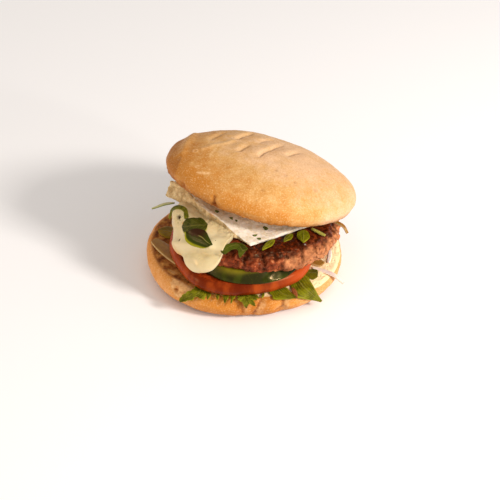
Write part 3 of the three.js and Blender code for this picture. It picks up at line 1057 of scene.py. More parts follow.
@dataclass
class Strewing:
    """Geometry Nodes that strew small forms, sized in millimetres, over the marked faces of a piece."""

    name: str
    shape: Shape
    mark: str
    per_square_metre: float
    smallest: float
    largest: float
    seed: int
    sink: float = 0.0

    def tree(self, finish: bpy.types.Material) -> bpy.types.NodeTree:
        """Write the node group.

        Args:
            finish: The material of the strewn forms.

        Returns:
            The group, with its sizes as named inputs.
        """
        group = bpy.data.node_groups.new(self.name, "GeometryNodeTree")
        face = group.interface
        face.new_socket("Geometry", in_out="INPUT", socket_type="NodeSocketGeometry")
        for title in ("Density", "Smallest", "Largest", "Sink"):
            face.new_socket(title, in_out="INPUT", socket_type="NodeSocketFloat")
        face.new_socket("Geometry", in_out="OUTPUT", socket_type="NodeSocketGeometry")

        def add(
            kind: str, inputs: dict[int | str, object] | None = None, **settings: object
        ) -> bpy.types.NodeOutputs:
            """Add a node.

            Args:
                kind: The node's type.
                inputs: A value or a socket for each input.
                settings: Its own settings, set first.

            Returns:
                Its outputs.
            """
            node = group.nodes.new(kind)
            for key, value in settings.items():
                setattr(node, key, value)
            for key, value in (inputs or {}).items():
                if isinstance(value, bpy.types.NodeSocket):
                    group.links.new(value, node.inputs[key])
                else:
                    node.inputs[key].default_value = value
            return node.outputs

        def draw(kind: str, offset: int, ends: dict[int, object]) -> bpy.types.NodeOutputs:
            """Add a random draw between two ends."""
            return add("FunctionNodeRandomValue", {**ends, "Seed": self.seed + offset}, data_type=kind)

        def scaled(vector: object, scale: object) -> bpy.types.NodeSocket:
            """Scale a vector."""
            return add("ShaderNodeVectorMath", {0: vector, "Scale": scale}, operation="SCALE")[0]

        def step(kind: str, **inputs: object) -> bpy.types.NodeSocket:
            """Pass a geometry through a node."""
            return add(f"GeometryNode{kind}", inputs)[0]

        given = add("NodeGroupInput")
        masked = add("GeometryNodeInputNamedAttribute", {"Name": self.mark}, data_type="FLOAT")
        density = add("ShaderNodeMath", {0: masked["Attribute"], 1: given["Density"]}, operation="MULTIPLY")
        spread = add(
            "GeometryNodeDistributePointsOnFaces",
            {"Mesh": given["Geometry"], "Density": density[0], "Seed": self.seed},
        )
        lump = add("GeometryNodeMeshIcoSphere", {"Radius": MM / 2, "Subdivisions": 2})
        ripple = add("ShaderNodeTexNoise", {"Scale": RIPPLES_PER_MM / MM})
        push = add("ShaderNodeVectorMath", {0: ripple["Color"], 1: (0.5, 0.5, 0.5)}, operation="SUBTRACT")
        bent = step("SetPosition", Geometry=lump["Mesh"], Offset=scaled(push[0], RIPPLE_DEPTH * MM))
        size = draw("FLOAT", 1, {2: given["Smallest"], 3: given["Largest"]})
        thin = 0.3 if self.shape is Shape.FLAKE else 0.6
        stretch = draw("FLOAT_VECTOR", 2, {0: (0.6, 0.6, thin), 1: (1.3, 1.3, thin + 0.3)})
        spin = draw("FLOAT", 3, {3: 2 * math.pi})
        about = add("FunctionNodeAxisAngleToRotation", {"Axis": (0.0, 0.0, 1.0), "Angle": spin[1]})
        turn = add("FunctionNodeRotateRotation", {0: spread["Rotation"], 1: about[0]}, rotation_space="LOCAL")
        lowered = scaled(spread["Normal"], given["Sink"])
        sunk = step("SetPosition", Geometry=spread["Points"], Offset=lowered)
        sizes = scaled(stretch[0], size[1])
        strewn = step("InstanceOnPoints", Points=sunk, Instance=bent, Rotation=turn[0], Scale=sizes)
        rounded = step("SetShadeSmooth", Geometry=step("RealizeInstances", Geometry=strewn))
        add("NodeGroupOutput", {0: step("SetMaterial", Geometry=rounded, Material=finish)})
        return group

    def over(self, carrier: bpy.types.Object, finish: bpy.types.Material) -> bpy.types.Object:
        """Strew the forms and make them one plain mesh.

        Args:
            carrier: The piece that they lie on.
            finish: Their material.

        Returns:
            The strewn forms as one object at the origin.
        """
        host = stand(f"{self.name}_host", carrier.data.copy())
        modifier = host.modifiers.new(self.name, "NODES")
        group = self.tree(finish)
        modifier.node_group = group
        sizes = {
            "Density": self.per_square_metre,
            "Smallest": self.smallest,
            "Largest": self.largest,
            "Sink": -self.sink * MM,
        }
        for item in group.interface.items_tree:
            if item.in_out == "INPUT" and item.name in sizes:
                modifier[item.identifier] = float(sizes[item.name])
        bpy.context.view_layer.update()
        graph = bpy.context.evaluated_depsgraph_get()
        mesh = bpy.data.meshes.new_from_object(host.evaluated_get(graph))
        host.modifiers.clear()
        bpy.data.objects.remove(host)
        bpy.data.node_groups.remove(group)
        mesh.name = self.name
        return stand(self.name, mesh)


@dataclass
class BottomBun:
    """The bottom half of the bun."""

    half_width: float = 57.5
    front_depth: float = 53.8
    back_depth: float = 49.0
    height: float = 15.0
    tilt: float = 3.0
    squareness: float = 2.15
    foot: float = 46.5
    cheek: float = 9.0
    lip: float = 5.0
    set_back: float = 2.4
    columns: int = 420
    clefts: tuple[tuple[float, float], ...] = ((-2, 1.0), (5, 1.6), (11, 0.8), (22, 1.5))
    cleft_width: float = 2.6
    toasted_side: float = 175.0
    seed: int = 5
    cracks: tuple[tuple[Knots, float], ...] = (
        (((-1.6, -50.0, 14.6), (-1.0, -52.0, 11.0), (-0.6, -52.9, 6.0)), 0.7),
        (((10.2, -48.6, 14.4), (8.6, -51.3, 11.9), (6.8, -52.5, 8.4), (5.4, -52.0, 4.0)), 1.0),
        (((22.4, -46.6, 13.4), (22.3, -49.0, 9.0), (20.8, -48.9, 4.5)), 1.1),
        (((17.0, -50.4, 6.2), (19.5, -49.8, 6.4), (22.0, -48.8, 6.0)), 0.5),
    )
    pits: Knots = ((-39.0, -39.9, 12.8, 1.5), (-37.4, -36.6, 15.0, 1.0), (-35.6, -41.2, 12.6, 0.8))
    tears: Knots = (
        (-36.5, -33.5, 16.6, 3.4),
        (-39.5, -37.0, 14.6, 3.4),
        (-34.5, -39.5, 15.4, 4.6),
        (-30.5, -42.6, 14.8, 4.2),
        (-37.0, -41.0, 11.2, 3.6),
        (-32.5, -44.6, 11.0, 3.4),
    )

    def radius(self, x: np.ndarray, y: np.ndarray) -> np.ndarray:
        """Give the bun's radius: an oval, a little square, deeper in front.

        Args:
            x: Places along X.
            y: Places along Y.

        Returns:
            The radius on each place's bearing.
        """
        distance = np.maximum(np.hypot(x, y), 1e-9)
        depth = np.where(y < 0, self.front_depth, self.back_depth)
        across = np.abs(x / distance / self.half_width) ** self.squareness
        along = np.abs(y / distance / depth) ** self.squareness
        return np.maximum(across + along, 1e-6) ** (-1 / self.squareness)

    def side(self) -> np.ndarray:
        """Give the profile of the side, from the foot to the cut face.

        Returns:
            [radius, height] pairs.
        """
        width, tall, lip = self.half_width, self.height, self.lip
        knots = [
            (self.foot, 0),
            (width - lip, tall / 9),
            (width - lip / 3, tall / 3),
            (width, self.cheek),
            (width - lip / 8, tall - lip / 2),
            (width - lip / 2, tall - lip / 8),
            (width - lip, tall),
        ]
        return smooth(knots, 64)

    def cracked(self, points: np.ndarray, crumb: np.ndarray) -> np.ndarray:
        """Work out the cracks that run down the front, open towards the right.

        Args:
            points: The bun's corners.
            crumb: Noise that frays the cracks.

        Returns:
            Three rows: how deep the cracks make each corner, how much painted shade lies along them and how
                much painted highlight lies on their right banks.
        """
        deep, shade, light = np.zeros((3, len(points)))
        facing = points * (1, 0, 1)
        for knots, depth in self.cracks:
            line = near_line(facing, tuple((x, 0.0, z) for x, _, z in knots))
            away = line.away + 0.5 * crumb
            taper = ease(line.share, 0.0, 0.15) * ease(line.share, 1.15, 0.85) * (points[:, 1] < 0)
            drops, places = [-knot[2] for knot in knots], [knot[0] for knot in knots]
            right = points[:, 0] > np.interp(-points[:, 2], drops, places)
            deep += depth * np.where(right, bell(away, 0, 2.8), bell(away, 0, 1.0)) * taper
            # Painted shade along each crack.
            shade = np.maximum(shade, 1.3 * bell(away, 0, 0.65) * taper * depth)
            # Painted highlight on the crack's right bank.
            light = np.maximum(light, bell(away, 2.2, 1.8) * right * taper * depth)
        return np.stack([deep, shade, light])

    def form(self) -> Form:
        """Shape the bun and mark its crust, its cut face and its cracks, with painted shade and painted
        light.

        Returns:
            The shape in the piece's own frame.
        """
        form = disc(self.side(), under=12, over=60, columns=self.columns)
        x, y, z = form.points.T.copy()
        distance = np.hypot(x, y)
        inside = distance / self.half_width
        front = np.maximum(0, -y / np.maximum(distance, 1e-9))
        level = z / self.height
        above = np.maximum(0, z - self.cheek) / (self.height - self.cheek)
        belly = np.sin(np.pi * unit(level))
        scale = self.radius(x, y) / self.half_width - front * above * self.set_back / self.half_width
        for middle, depth in self.clefts:
            scale -= front**2 * belly * depth * bell(x, middle, self.cleft_width) / self.half_width
        x, y = x * scale, y * scale
        z = z - x * math.tan(math.radians(self.tilt)) * np.minimum(1, level) ** 2
        form.points = np.stack([x, y, z], axis=-1)
        cut = ease(level + 0.13 * ease(x, 32, 44), 0.97, 1.0)
        grain = Grain(self.seed)
        crumb = grain.at(form.points, 3.2, 3)
        torn = ease(spots(form.points, self.tears) + 0.32 * crumb, 0.4, 0.6)
        relief = 0.5 * grain.at(form.points, 15) + 0.22 * grain.at(form.points, 5, 2)
        relief = relief * np.minimum(1, level * 8) + cut * 0.5 * crumb - torn * (0.5 + 0.55 * crumb)
        deep, shade, light = self.cracked(form.points, crumb)
        hole = spots(form.points, self.pits)
        form.swell((relief - deep * np.minimum(1, level * 6)) * ease(level, 0.0, 0.1) - 1.8 * hole)
        left = ease(np.abs((bearing_of(x, y) - self.toasted_side + 180) % 360 - 180), 85, 30)
        rim = bell(level, 0.985, 0.02) * ease(inside, 0.86, 0.9)
        toasted = left * ease(inside, 0.5, 0.7)
        toast = toasted * 0.85 + 0.12 * ease(x, 36, 12) + 0.5 * toasted * rim + hole
        # Browner in the middle and towards the bottom; paler to the left and right: painted light on the
        # sides that the lamps reach.
        bake_and_light = 0.35 + 0.5 * bell(x, 2, 26) - 0.35 * ease(x, 18, 50) + 0.3 * ease(level, 0.45, 0.05)
        form.marks = {
            "cut": cut,
            "torn": torn * (1 - hole),
            "toast": unit(toast),
            # Darker towards the bottom, painted shade in the cracks and pits, and a dark rim along the
            # toasted left edge.
            "dark": unit(0.45 * ease(level, 0.3, 0.0) + 0.8 * shade + 0.6 * rim * left + hole),
            # Pale speckle beside the cracks: painted highlight only.
            "flour_and_highlight": unit(0.3 * light),
            "bake_and_light": unit(bake_and_light),
        }
        return form

    def build(self, crust: bpy.types.Material) -> None:
        """Build the piece.

        Args:
            crust: The material of the bread.
        """
        piece = self.form().piece("bottom_bun", crust)
        settle(piece, "crust", "bun_bottom")


@dataclass
class TopBun:
    """The top half of the bun, slid back and tipped down to the right."""

    half_width: float = 57.3
    half_depth: float = 46.6
    height: float = 24.7
    cheek: float = 5.4
    fullness: float = 2.15
    squareness: float = 1.85
    columns: int = 420
    rows: int = 110
    place: Place = field(
        default_factory=lambda: Place(
            (8.6, 7.6, 50.0), turn_about(X, -10) @ turn_about(Y, 16) @ turn_about(Z, 10)
        )
    )
    folds: tuple[tuple[Knots, float], ...] = (
        (((-35.6, 5.5), (-29.3, 13.6), (-21.4, 23.9)), 0.7),
        (((-20.6, 8.3), (-14.4, 15.3), (-9.1, 21.7), (-4.0, 27.5)), 1.1),
        (((-22.9, -8.1), (-19.2, -5.7), (-11.1, 4.8)), 0.8),
        (((-7.3, 6.3), (-1.7, 14.0), (6.0, 19.0)), 0.5),
        (((-13.9, -12.0), (-8.7, -9.9), (-4.7, -4.0), (-0.3, 0.9), (5.3, 8.0), (11.4, 14.6)), 0.9),
        (((8.3, -4.5), (14.4, 2.3), (20.3, 8.0)), 0.7),
    )
    ridge: Knots = ((-42, -5), (-37.3, -3.1), (-33.6, 0.1), (-27.7, 2.0), (-20.6, 8.3))
    facet: Knots = ((-40.0, 23), (-45.1, 11.9), (-48.3, 4.8), (-50.5, -3))
    scratch: Knots = ((-32.8, -3.9), (-35.7, -9.1), (-37.1, -12.1))
    blister: tuple[float, float] = (-44.2, -4.9)
    seed: int = 11
    lip_crack: Knots = ((-34.5, -35.6, 7.2), (-33.9, -35.9, 4.6), (-32.9, -35.0, 1.0))
    notches: Knots = ((-50.2, -20.0, 3.4, 2.2), (-33.0, -35.6, 1.6, 1.9))
    pits: Knots = (
        (4.7, -23.7, 22.3, 1.2),
        (-0.3, -20.8, 23.0, 1.0),
        (10.2, -27.6, 21.0, 1.0),
        (-9.9, -37.1, 17.1, 0.9),
        (22.7, -28.6, 18.8, 1.2),
    )
    smears: tuple[tuple[Knots, float, float], ...] = (
        (((-43.7, -22.2), (-41.1, -23.7), (-38.0, -24.7)), 1.0, 0.7),
        (((-44.7, -17.9), (-43.2, -18.2)), 0.6, 0.6),
    )

    def profile(self) -> np.ndarray:
        """Give the profile from the axis below to the axis above.

        Returns:
            [radius, height] pairs.
        """
        width, cheek = self.half_width, self.cheek
        tuck = smooth([(width - cheek, 0), (width - cheek / 3, cheek / 4), (width, cheek)], 22)
        angle = np.linspace(0, math.pi / 2, self.rows + 1)[1:]
        radius = width * np.maximum(np.cos(angle), 0) ** (2 / self.fullness)
        tall = cheek + (self.height - cheek) * np.sin(angle) ** (2 / self.fullness)
        radius[-1] = 0
        dome = np.stack([radius, tall], axis=-1)
        return np.vstack([flat(0, width - cheek, 0, 40)[:-1], tuck, dome])

    def folded(self, plan: np.ndarray, rough: np.ndarray, dome: np.ndarray, skin: np.ndarray) -> np.ndarray:
        """Work out the folds, the ridge and the flattened left shoulder.

        Args:
            plan: The corners in plan.
            rough: Noise that frays the folds.
            dome: 1 on the dome and 0 below it.
            skin: 1 on crust and 0 on the cut face.

        Returns:
            Three rows: how high they make each corner, how much painted highlight and how much painted shade.
        """
        relief, pale, shade = np.zeros((3, len(plan)))
        for knots, depth in self.folds:
            line = near_line(plan, knots)
            away, above, below = line.away + 0.5 * rough, line.side > 0, line.side < 0
            taper = ease(line.share, 0.0, 0.3) * ease(line.share, 1.1, 0.7) * dome
            valley = np.where(above, bell(away, 0, 2.0), bell(away, 0, 0.7))
            relief += (0.45 * bell(away, 3.4, 3.4) * above - 0.85 * valley) * depth * taper
            # Painted highlight on the upper bank of each fold.
            pale = np.maximum(pale, bell(away, 1.6, 1.5) * above * taper * depth)
            # Painted shadow below each fold.
            shadow = (bell(away, 0.3, 0.8) + 0.4 * bell(away, 2.5, 2.4)) * below
            shade = np.maximum(shade, shadow * taper * depth)
        line = near_line(plan, self.ridge)
        taper = ease(line.share, 0.0, 0.1) * ease(line.share, 1.2, 0.9) * dome
        relief += 0.55 * bell(line.away + 0.5 * rough, 0, 1.8) * taper
        # Painted highlight along the ridge.
        pale = np.maximum(pale, 0.9 * bell(line.away, 0, 1.5) * taper)
        line = near_line(plan, self.facet)
        outside = line.side < 0
        relief += (0.9 * bell(line.away, 0, 2.2) - 0.5 * bell(line.away, 4, 2.5) * outside) * dome
        # Painted shade over the left end beyond the facet, the side turned from the light.
        shade = np.maximum(shade, 0.75 * ease(line.away, 0.0, 8) * outside * skin)
        return np.stack([relief, pale, shade])

    def form(self) -> Form:
        """Shape the bun and mark its crust, its cut face and its folds, with painted shade and painted
        highlights.

        Returns:
            The shape in the piece's own frame.
        """
        form = lathe(self.profile(), self.columns)
        x, y, z = form.points.T.copy()
        distance = np.maximum(np.hypot(x, y), 1e-9)
        around = np.abs(x / distance) ** self.squareness + np.abs(y / distance) ** self.squareness
        scale = np.maximum(around, 1e-6) ** (-1 / self.squareness)
        x, y = x * scale, y * scale * self.half_depth / self.half_width
        form.points = np.stack([x, y, z], axis=-1)
        dome = ease(z, self.cheek * 0.6, self.cheek * 1.4)
        under = (z < 0.4) * ease(distance / self.half_width, 0.93, 0.88)
        skin = 1 - under
        grain = Grain(self.seed)
        plan, rough = form.points[:, :2], grain.at(form.points, 5, 2)
        relief, pale, shade = self.folded(plan, rough, dome, skin)
        relief += 0.7 * grain.at(form.points, 22) + 0.25 * grain.at(form.points, 8, 2)
        relief += 0.07 * grain.at(form.points, 2.2, 2)
        ring = np.hypot(*(plan - self.blister).T)
        blister = bell(ring, 1.2, 0.45) * dome
        relief += 0.35 * blister - 0.3 * bell(ring, 0, 0.8) * dome
        pits, notch = spots(form.points, self.pits), spots(form.points, self.notches)
        split = bell(near_line(form.points, self.lip_crack).away + 0.2 * rough, 0, 0.8)
        relief += bell(z, 1.5, 2.2) * skin * (0.5 * grain.at(form.points, 2.6, 2) + 0.4 * rough)
        relief = relief * skin - 0.35 * pits - 1.5 * notch - 1.1 * split
        form.swell(relief + under * 0.5 * grain.at(form.points, 3.2, 3))
        scratch = bell(near_line(plan, self.scratch).away, 0, 0.45) * dome
        smear = np.zeros(len(plan))
        for knots, strength, spread in self.smears:
            smear = np.maximum(smear, strength * bell(near_line(plan, knots).away, 0, spread))
        # Painted shade: darker at the low rim where the crown curls under, in the notches, the lip crack and
        # the pits, and the fold and facet shade.
        dark = 0.6 * ease(z, 5.0, 1.0) * skin + 0.5 * notch + 0.8 * split + 0.3 * pits + 0.5 * shade
        # Browner to the left and low at the front, paler on top: painted shade and painted light.
        bake_and_light = 0.5 - x / 140 + 0.7 * ease(z, 16, 4) * ease(x, 36, -4) - 0.4 * ease(z, 18, 25)
        form.marks = {
            "cut": under,
            "toast": 0.5 * under,
            "dark": unit(dark),
            # Painted highlights from the folds and ridge, with the blister, the scratch and the flour smears.
            "flour_and_highlight": unit(0.3 * pale + 0.5 * blister + 0.45 * scratch + 0.5 * smear * dome),
            "torn": 0 * x,
            "bake_and_light": unit(bake_and_light),
        }
        return form

    def build(self, crust: bpy.types.Material) -> None:
        """Build the piece.

        Args:
            crust: The material of the bread.
        """
        piece = self.form().at(self.place).piece("top_bun", crust)
        settle(piece, "crust", "bun_top")


HEEL = BottomBun()
ON_HEEL = Place((0.0, 0.0, HEEL.height), turn_about(Y, HEEL.tilt))
ON_CUCUMBER = Place((8.0, -1.5, 30.5), turn_about(Y, 9))


@dataclass
class Tomato:
    """The tomato slice."""

    radius: float = 41.2
    thickness: float = 8.5
    place: Triple = (-1.8, -8.5, 1.6)
    skin_bulge: float = 0.8
    bulge: float = 3.4
    bulge_at: float = 243.0
    bulge_spread: float = 26.0
    right_bulge: float = 2.0
    right_at: float = 325.0
    right_spread: float = 18.0
    seed: int = 21
    columns: int = 260

    def build(self, finish: bpy.types.Material) -> None:
        """Build the piece.

        Args:
            finish: Its material.
        """
        radius, tall, proud = self.radius, self.thickness, self.skin_bulge
        edge = radius - proud - 0.5
        middle = [(radius, tall / 6), (radius + proud, tall / 2), (radius, tall * 5 / 6)]
        side_line = smooth([(edge, 0), *middle, (edge, tall)], 30)
        form = disc(side_line, under=20, over=40, columns=self.columns)
        x, y, z = form.points.T
        side = ease(np.hypot(x, y), edge - 0.4, edge + 0.3)
        turn = bearing_of(x, y)
        scale = 1 + self.bulge / radius * bell(turn, self.bulge_at, self.bulge_spread)
        scale += self.right_bulge / radius * bell(turn, self.right_at, self.right_spread)
        form.points = np.stack([x * scale, y * scale, z], axis=-1)
        grain = Grain(self.seed)
        form.swell(0.35 * grain.at(form.points, 16) + 0.12 * grain.at(form.points, 5))
        form.points += np.array(self.place)
        x = form.points[:, 0]
        # Lighter orange towards the right and left edges: painted light.
        form.marks = {"skin": side, "painted_light": 0.85 * ease(x, 12, 34) + 0.45 * ease(x, -26, -38)}
        piece = form.at(ON_HEEL).piece("tomato_slice", finish)
        settle(piece, "tomato", "tomato")


@dataclass
class Cucumber:
    """One slice, cut on the slant so that its rind leans out towards its lower face."""

    name: str
    node: str
    x: float
    y: float
    half_width: float
    half_depth: float
    thickness: float = 8.3
    lean: float = 2.2
    bevel: float = 0.8
    height: float = 10.4
    seed: int = 31

    def build(self, finish: bpy.types.Material) -> None:
        """Build the piece.

        Args:
            finish: Its material.
        """
        wide, tall, bevel = self.half_width, self.thickness, self.bevel
        top = wide - self.lean - bevel
        knots = [
            (wide - bevel, 0),
            (wide, bevel),
            (wide - self.lean / 2, tall / 2),
            (wide - self.lean, tall - bevel),
            (top, tall),
        ]
        form = disc(smooth(knots, 26), under=12, over=26, columns=200)
        x, y, z = form.points.T
        reach = np.hypot(x, y)
        rind = ease(reach, top - 0.1, top + 0.7) * ease(z, -0.1, 0.25)
        edge = bell(z, tall, 0.9 + 1.9 * ease(x, 4, -10)) * rind
        pressed = ease(x, 4, 18) * z / tall * (reach > top - 3)
        x, y = x - 3.0 * pressed, y * self.half_depth / wide
        y = y + 2.4 * ease(x, 4, 18) * z / tall * (reach > top - 3)
        form.points = np.stack([x, y, z], axis=-1)
        grain = Grain(self.seed)
        form.swell(0.25 * grain.at(form.points, 9) + 0.02 * grain.at(form.points, 3))
        form.points += np.array([self.x, self.y, self.height])
        form.marks = {"rind": rind * (1 - unit(1.2 * edge)), "edge": edge}
        piece = form.at(ON_HEEL).piece(self.name, finish)
        settle(piece, "cucumber", self.node)


@dataclass
class Patty:
    """The beef patty."""

    radius: float = 46.8
    thickness: float = 13.5
    crag: float = 1.7
    bulge_at: float = 243.0
    bulge: float = 3.6
    bulge_spread: float = 34.0
    wedge: float = 5.0
    seeds: tuple[int, int] = (41, 42)
    columns: int = 460
    crater: Knots = ((16.5, -43.8, 9.0, 2.6), (19.4, -42.2, 9.4, 2.4), (18.0, -43.4, 6.4, 2.2))
    # Where the painted glints lie.
    painted_glint: Knots = ((-6.5, -48.0, 10.4, 0.5), (-0.7, -48.8, 9.1, 0.6), (24.9, -30.7, 13.5, 0.45))
    clefts: tuple[tuple[Knots, float], ...] = (
        (((0.8, -43.5, 13.4), (1.8, -48.1, 9.3), (2.4, -48.5, 3.0)), 1.6),
        (((22.0, -31.0, 13.5), (23.3, -36.8, 12.3), (24.8, -40.2, 8.1), (25.5, -40.5, 4.0)), 1.5),
        (((-8.9, -43.0, 13.5), (-9.9, -48.2, 9.0), (-9.0, -49.5, 4.0)), 1.1),
        (((36.0, -24.0, 12.8), (38.0, -27.5, 8.5)), 1.1),
        (((12.0, -46.5, 7.5), (13.0, -46.0, 3.0)), 0.9),
        (((4.0, -45.0, 11.5), (12.0, -43.0, 11.8), (20.0, -39.0, 11.5)), 0.5),
    )

    def form(self) -> Form:
        """Shape the patty and mark its sear, the painted shade in its clefts, the painted light on its right
        side, its painted glints and where loose mince lies.

        Returns:
            The shape in the piece's own frame.
        """
        radius, tall = self.radius, self.thickness
        knots = [
            (radius * 0.86, 0),
            (radius - 1.6, tall / 6),
            (radius, tall * 0.45),
            (radius - 0.8, tall * 0.75),
            (radius * 0.88, tall),
        ]
        form = disc(smooth(knots, 56), under=18, over=70, columns=self.columns)
        x, y, z = form.points.T
        outward = ease(np.hypot(x, y) / radius, 0.8, 0.97)
        coarse, fine = (Grain(seed) for seed in self.seeds)
        rough = fine.at(form.points, 3.0, 2)
        swell = self.bulge * bell(bearing_of(x, y), self.bulge_at, self.bulge_spread)
        lumpy = coarse.at(form.points, 9) * 0.8 + coarse.at(form.points, 4.5) * 0.4
        scale = 1 + (outward * self.crag * lumpy + swell) / radius
        x, y = x * scale, y * scale
        z = z - np.maximum(0, -x) * math.tan(math.radians(self.wedge)) * (1 - z / tall)
        form.points = np.stack([x, y, z], axis=-1)
        mince = fine.lumps(form.points + 1.4 * rough[:, None], 7.5)
        small = fine.lumps(form.points + 31, 2.1)
        shaded_cleft = 0 * x
        for knots, depth in self.clefts:
            line = near_line(form.points, knots)
            shaded_cleft = np.maximum(shaded_cleft, bell(line.away + 0.7 * rough, 0, 1.1) * depth)
        crater = spots(form.points, self.crater)
        relief = (0.3 + 1.5 * outward) * (mince**0.45 - 0.8) + 0.3 * (small - 0.5) + 0.4 * rough
        form.swell(relief - shaded_cleft - 0.7 * crater)
        high = z + 1.2 * rough + 0.4 - 2.8 * bell(x, 26, 9) - ease(x, 34, 44)
        seared = unit(ease(high, 9.4, 12.4) + 0.3 * ease(z, 3, 0))
        form.marks = {
            "sear": unit(seared + 0.2 * rough * (1 - seared)),
            # Painted shade in the clefts and between the mince lumps.
            "shaded_cleft": unit(ease(mince, 0.14, 0.0) * 0.35 + 0.6 * np.minimum(1, shaded_cleft)),
            # The torn crater, plus a paler right side where the light falls: painted light.
            "raw_and_light": unit(crater + 0.8 * ease(x, 6, 34) * outward * (1 - seared)),
            # Painted glints.
            "painted_glint": spots(form.points, self.painted_glint),
            "loose": outward * ease(z, 1.0, 3.0) * ease(z, tall, tall - 2.5),
        }
        return form

    def build(self, meat: bpy.types.Material) -> None:
        """Build the piece and the loose mince on its side.

        Args:
            meat: The material of both.
        """
        piece = self.form().at(ON_CUCUMBER).piece("beef_patty", meat)
        settle(piece, "patty", "patty")
        sizes = {"per_square_metre": 30000, "smallest": 1.4, "largest": 3.4, "sink": 0.6}
        crumbs = Strewing("mince", Shape.LUMP, "loose", seed=7, **sizes)
        settle(crumbs.over(piece, meat), "patty")


@dataclass
class Slab:
    """The cheese slab, in the patty's own frame."""

    length: float = 63.5
    width: float = 43.1
    thickness: float = 6.5
    place: Triple = (-13.9, -7.1, 13.8)
    turn: float = -38.5
    shear: float = 0.272
    bow: float = 0.8
    droop: float = 0.006
    melted_end: float = 4.6
    unevenness: float = 0.5
    slope: float = 7.0
    seed: int = 51
    patty_grip: float = Patty.radius * 0.92
    torn_corner: Knots = ((-50.5, -5.4, 20.0), (-49.6, -6.6, 17.9), (-47.4, -8.8, 15.4))
    orange_spot: tuple[float, float] = (-30.0, -23.2)
    flecks: Knots = (
        (1.2, -23.6),
        (0.0, -24.4),
        (4.3, -27.1),
        (-17.9, -23.0),
        (-14.3, -24.9),
        (-33.5, -15.3),
        (12.0, -22.0),
    )

    def form(self) -> Form:
        """Shape the slab and mark its cut sides, the painted shade on its left top edge and in its crack, and
        where herbs lie.

        Returns:
            The shape in the piece's own frame.
        """
        half = (self.length / 2, self.width / 2, self.thickness / 2)
        form = rounded_block(half, 0.9, (170, 116, 20))
        x, y, z = form.points.T
        z = z + half[2]
        along, across, level = x / half[0], y / half[1], z / self.thickness
        grain = Grain(self.seed)
        body = np.stack([x, y, z], axis=-1)
        chip = self.unevenness * grain.at(body, 11) * 2
        # Towards the left end the paste colour climbs onto the top: painted shade where the top bun shades
        # the slab.
        left_edge_shade = ease(-along, -0.15, 0.5)
        cut_side = ease(-across + left_edge_shade * (0.04 + 0.05 * grain.at(body, 3, 2)), 0.955, 0.99)
        cut_end = ease(np.abs(along), 0.965, 0.99)
        x = x + y * self.shear + chip * np.abs(along) ** 6
        y = y - np.where(across < 0, self.bow * (1 - along**2) * -across, 0) + chip * np.abs(across) ** 6
        y = y + self.slope * level * ease(-along, -0.2, 1.0) * np.maximum(0, -across) ** 2
        plan = np.stack([x, y, 0 * x], axis=-1) @ turn_about(Z, self.turn).T
        plan += np.array(self.place) * (1, 1, 0)
        past = np.maximum(0, np.hypot(plan[:, 0], plan[:, 1]) - self.patty_grip)
        thinned = self.melted_end * ease(along, 0.1, 1)
        z = z + level * (self.unevenness * grain.at(body, 14) - thinned) - self.droop * past**2
        plan[:, 2] = z + self.place[2]
        form.points = plan
        upper = ease(level, 0.6, 1.0)
        # The torn corner's crack, sunk and painted dark as shade.
        shaded_crack = bell(near_line(plan, self.torn_corner).away + 0.5 * grain.at(plan, 3), 0, 1.1)
        ragged = ease(-along, 0.72, 0.98)
        torn = cut_end * (along < 0) + 0.7 * cut_side + 0.8 * ragged * upper
        relief = 0.22 * grain.at(form.points, 5, 2) * upper + 0.12 * grain.at(form.points, 1.6, 2)
        form.swell(relief + torn * (1.0 * grain.at(form.points, 4.2, 3) - 0.2) - 1.7 * shaded_crack)
        flat_plan = plan * (1, 1, 0)
        flecks = spots(flat_plan, tuple((*place, 0.0, 0.9) for place in self.flecks))
        cut = np.maximum(cut_side, cut_end * (along < 0))
        form.marks = {
            # Paste colour up the cut sides, and over the top near the left end as painted shade.
            "cut": cut * np.maximum(ease(level, 0.97, 0.86), left_edge_shade),
            "blue": np.maximum(cut_side * ease(along, -0.2, 0.3), cut_end * ease(along, -0.5, 0.5)),
            "shaded_crack": unit(1.3 * shaded_crack),
            "stain": spots(flat_plan, ((*self.orange_spot, 0.0, 1.5),)) * upper,
            "herbs": upper * (flecks + 0.012),
        }
        return form

    def build(self, finish: bpy.types.Material, herbs: bpy.types.Material) -> None:
        """Build the slab and the chopped herbs on it.

        Args:
            finish: The slab's material.
            herbs: The herbs' material.
        """
        piece = self.form().at(ON_CUCUMBER).piece("blue_cheese_slab", finish)
        settle(piece, "cheese", "cheese_slab")
        sizes = {"per_square_metre": 300000, "smallest": 1.5, "largest": 3.0}
        flecks = Strewing("chopped_herbs", Shape.FLAKE, "herbs", seed=12, **sizes)
        settle(flecks.over(piece, herbs), "herb")


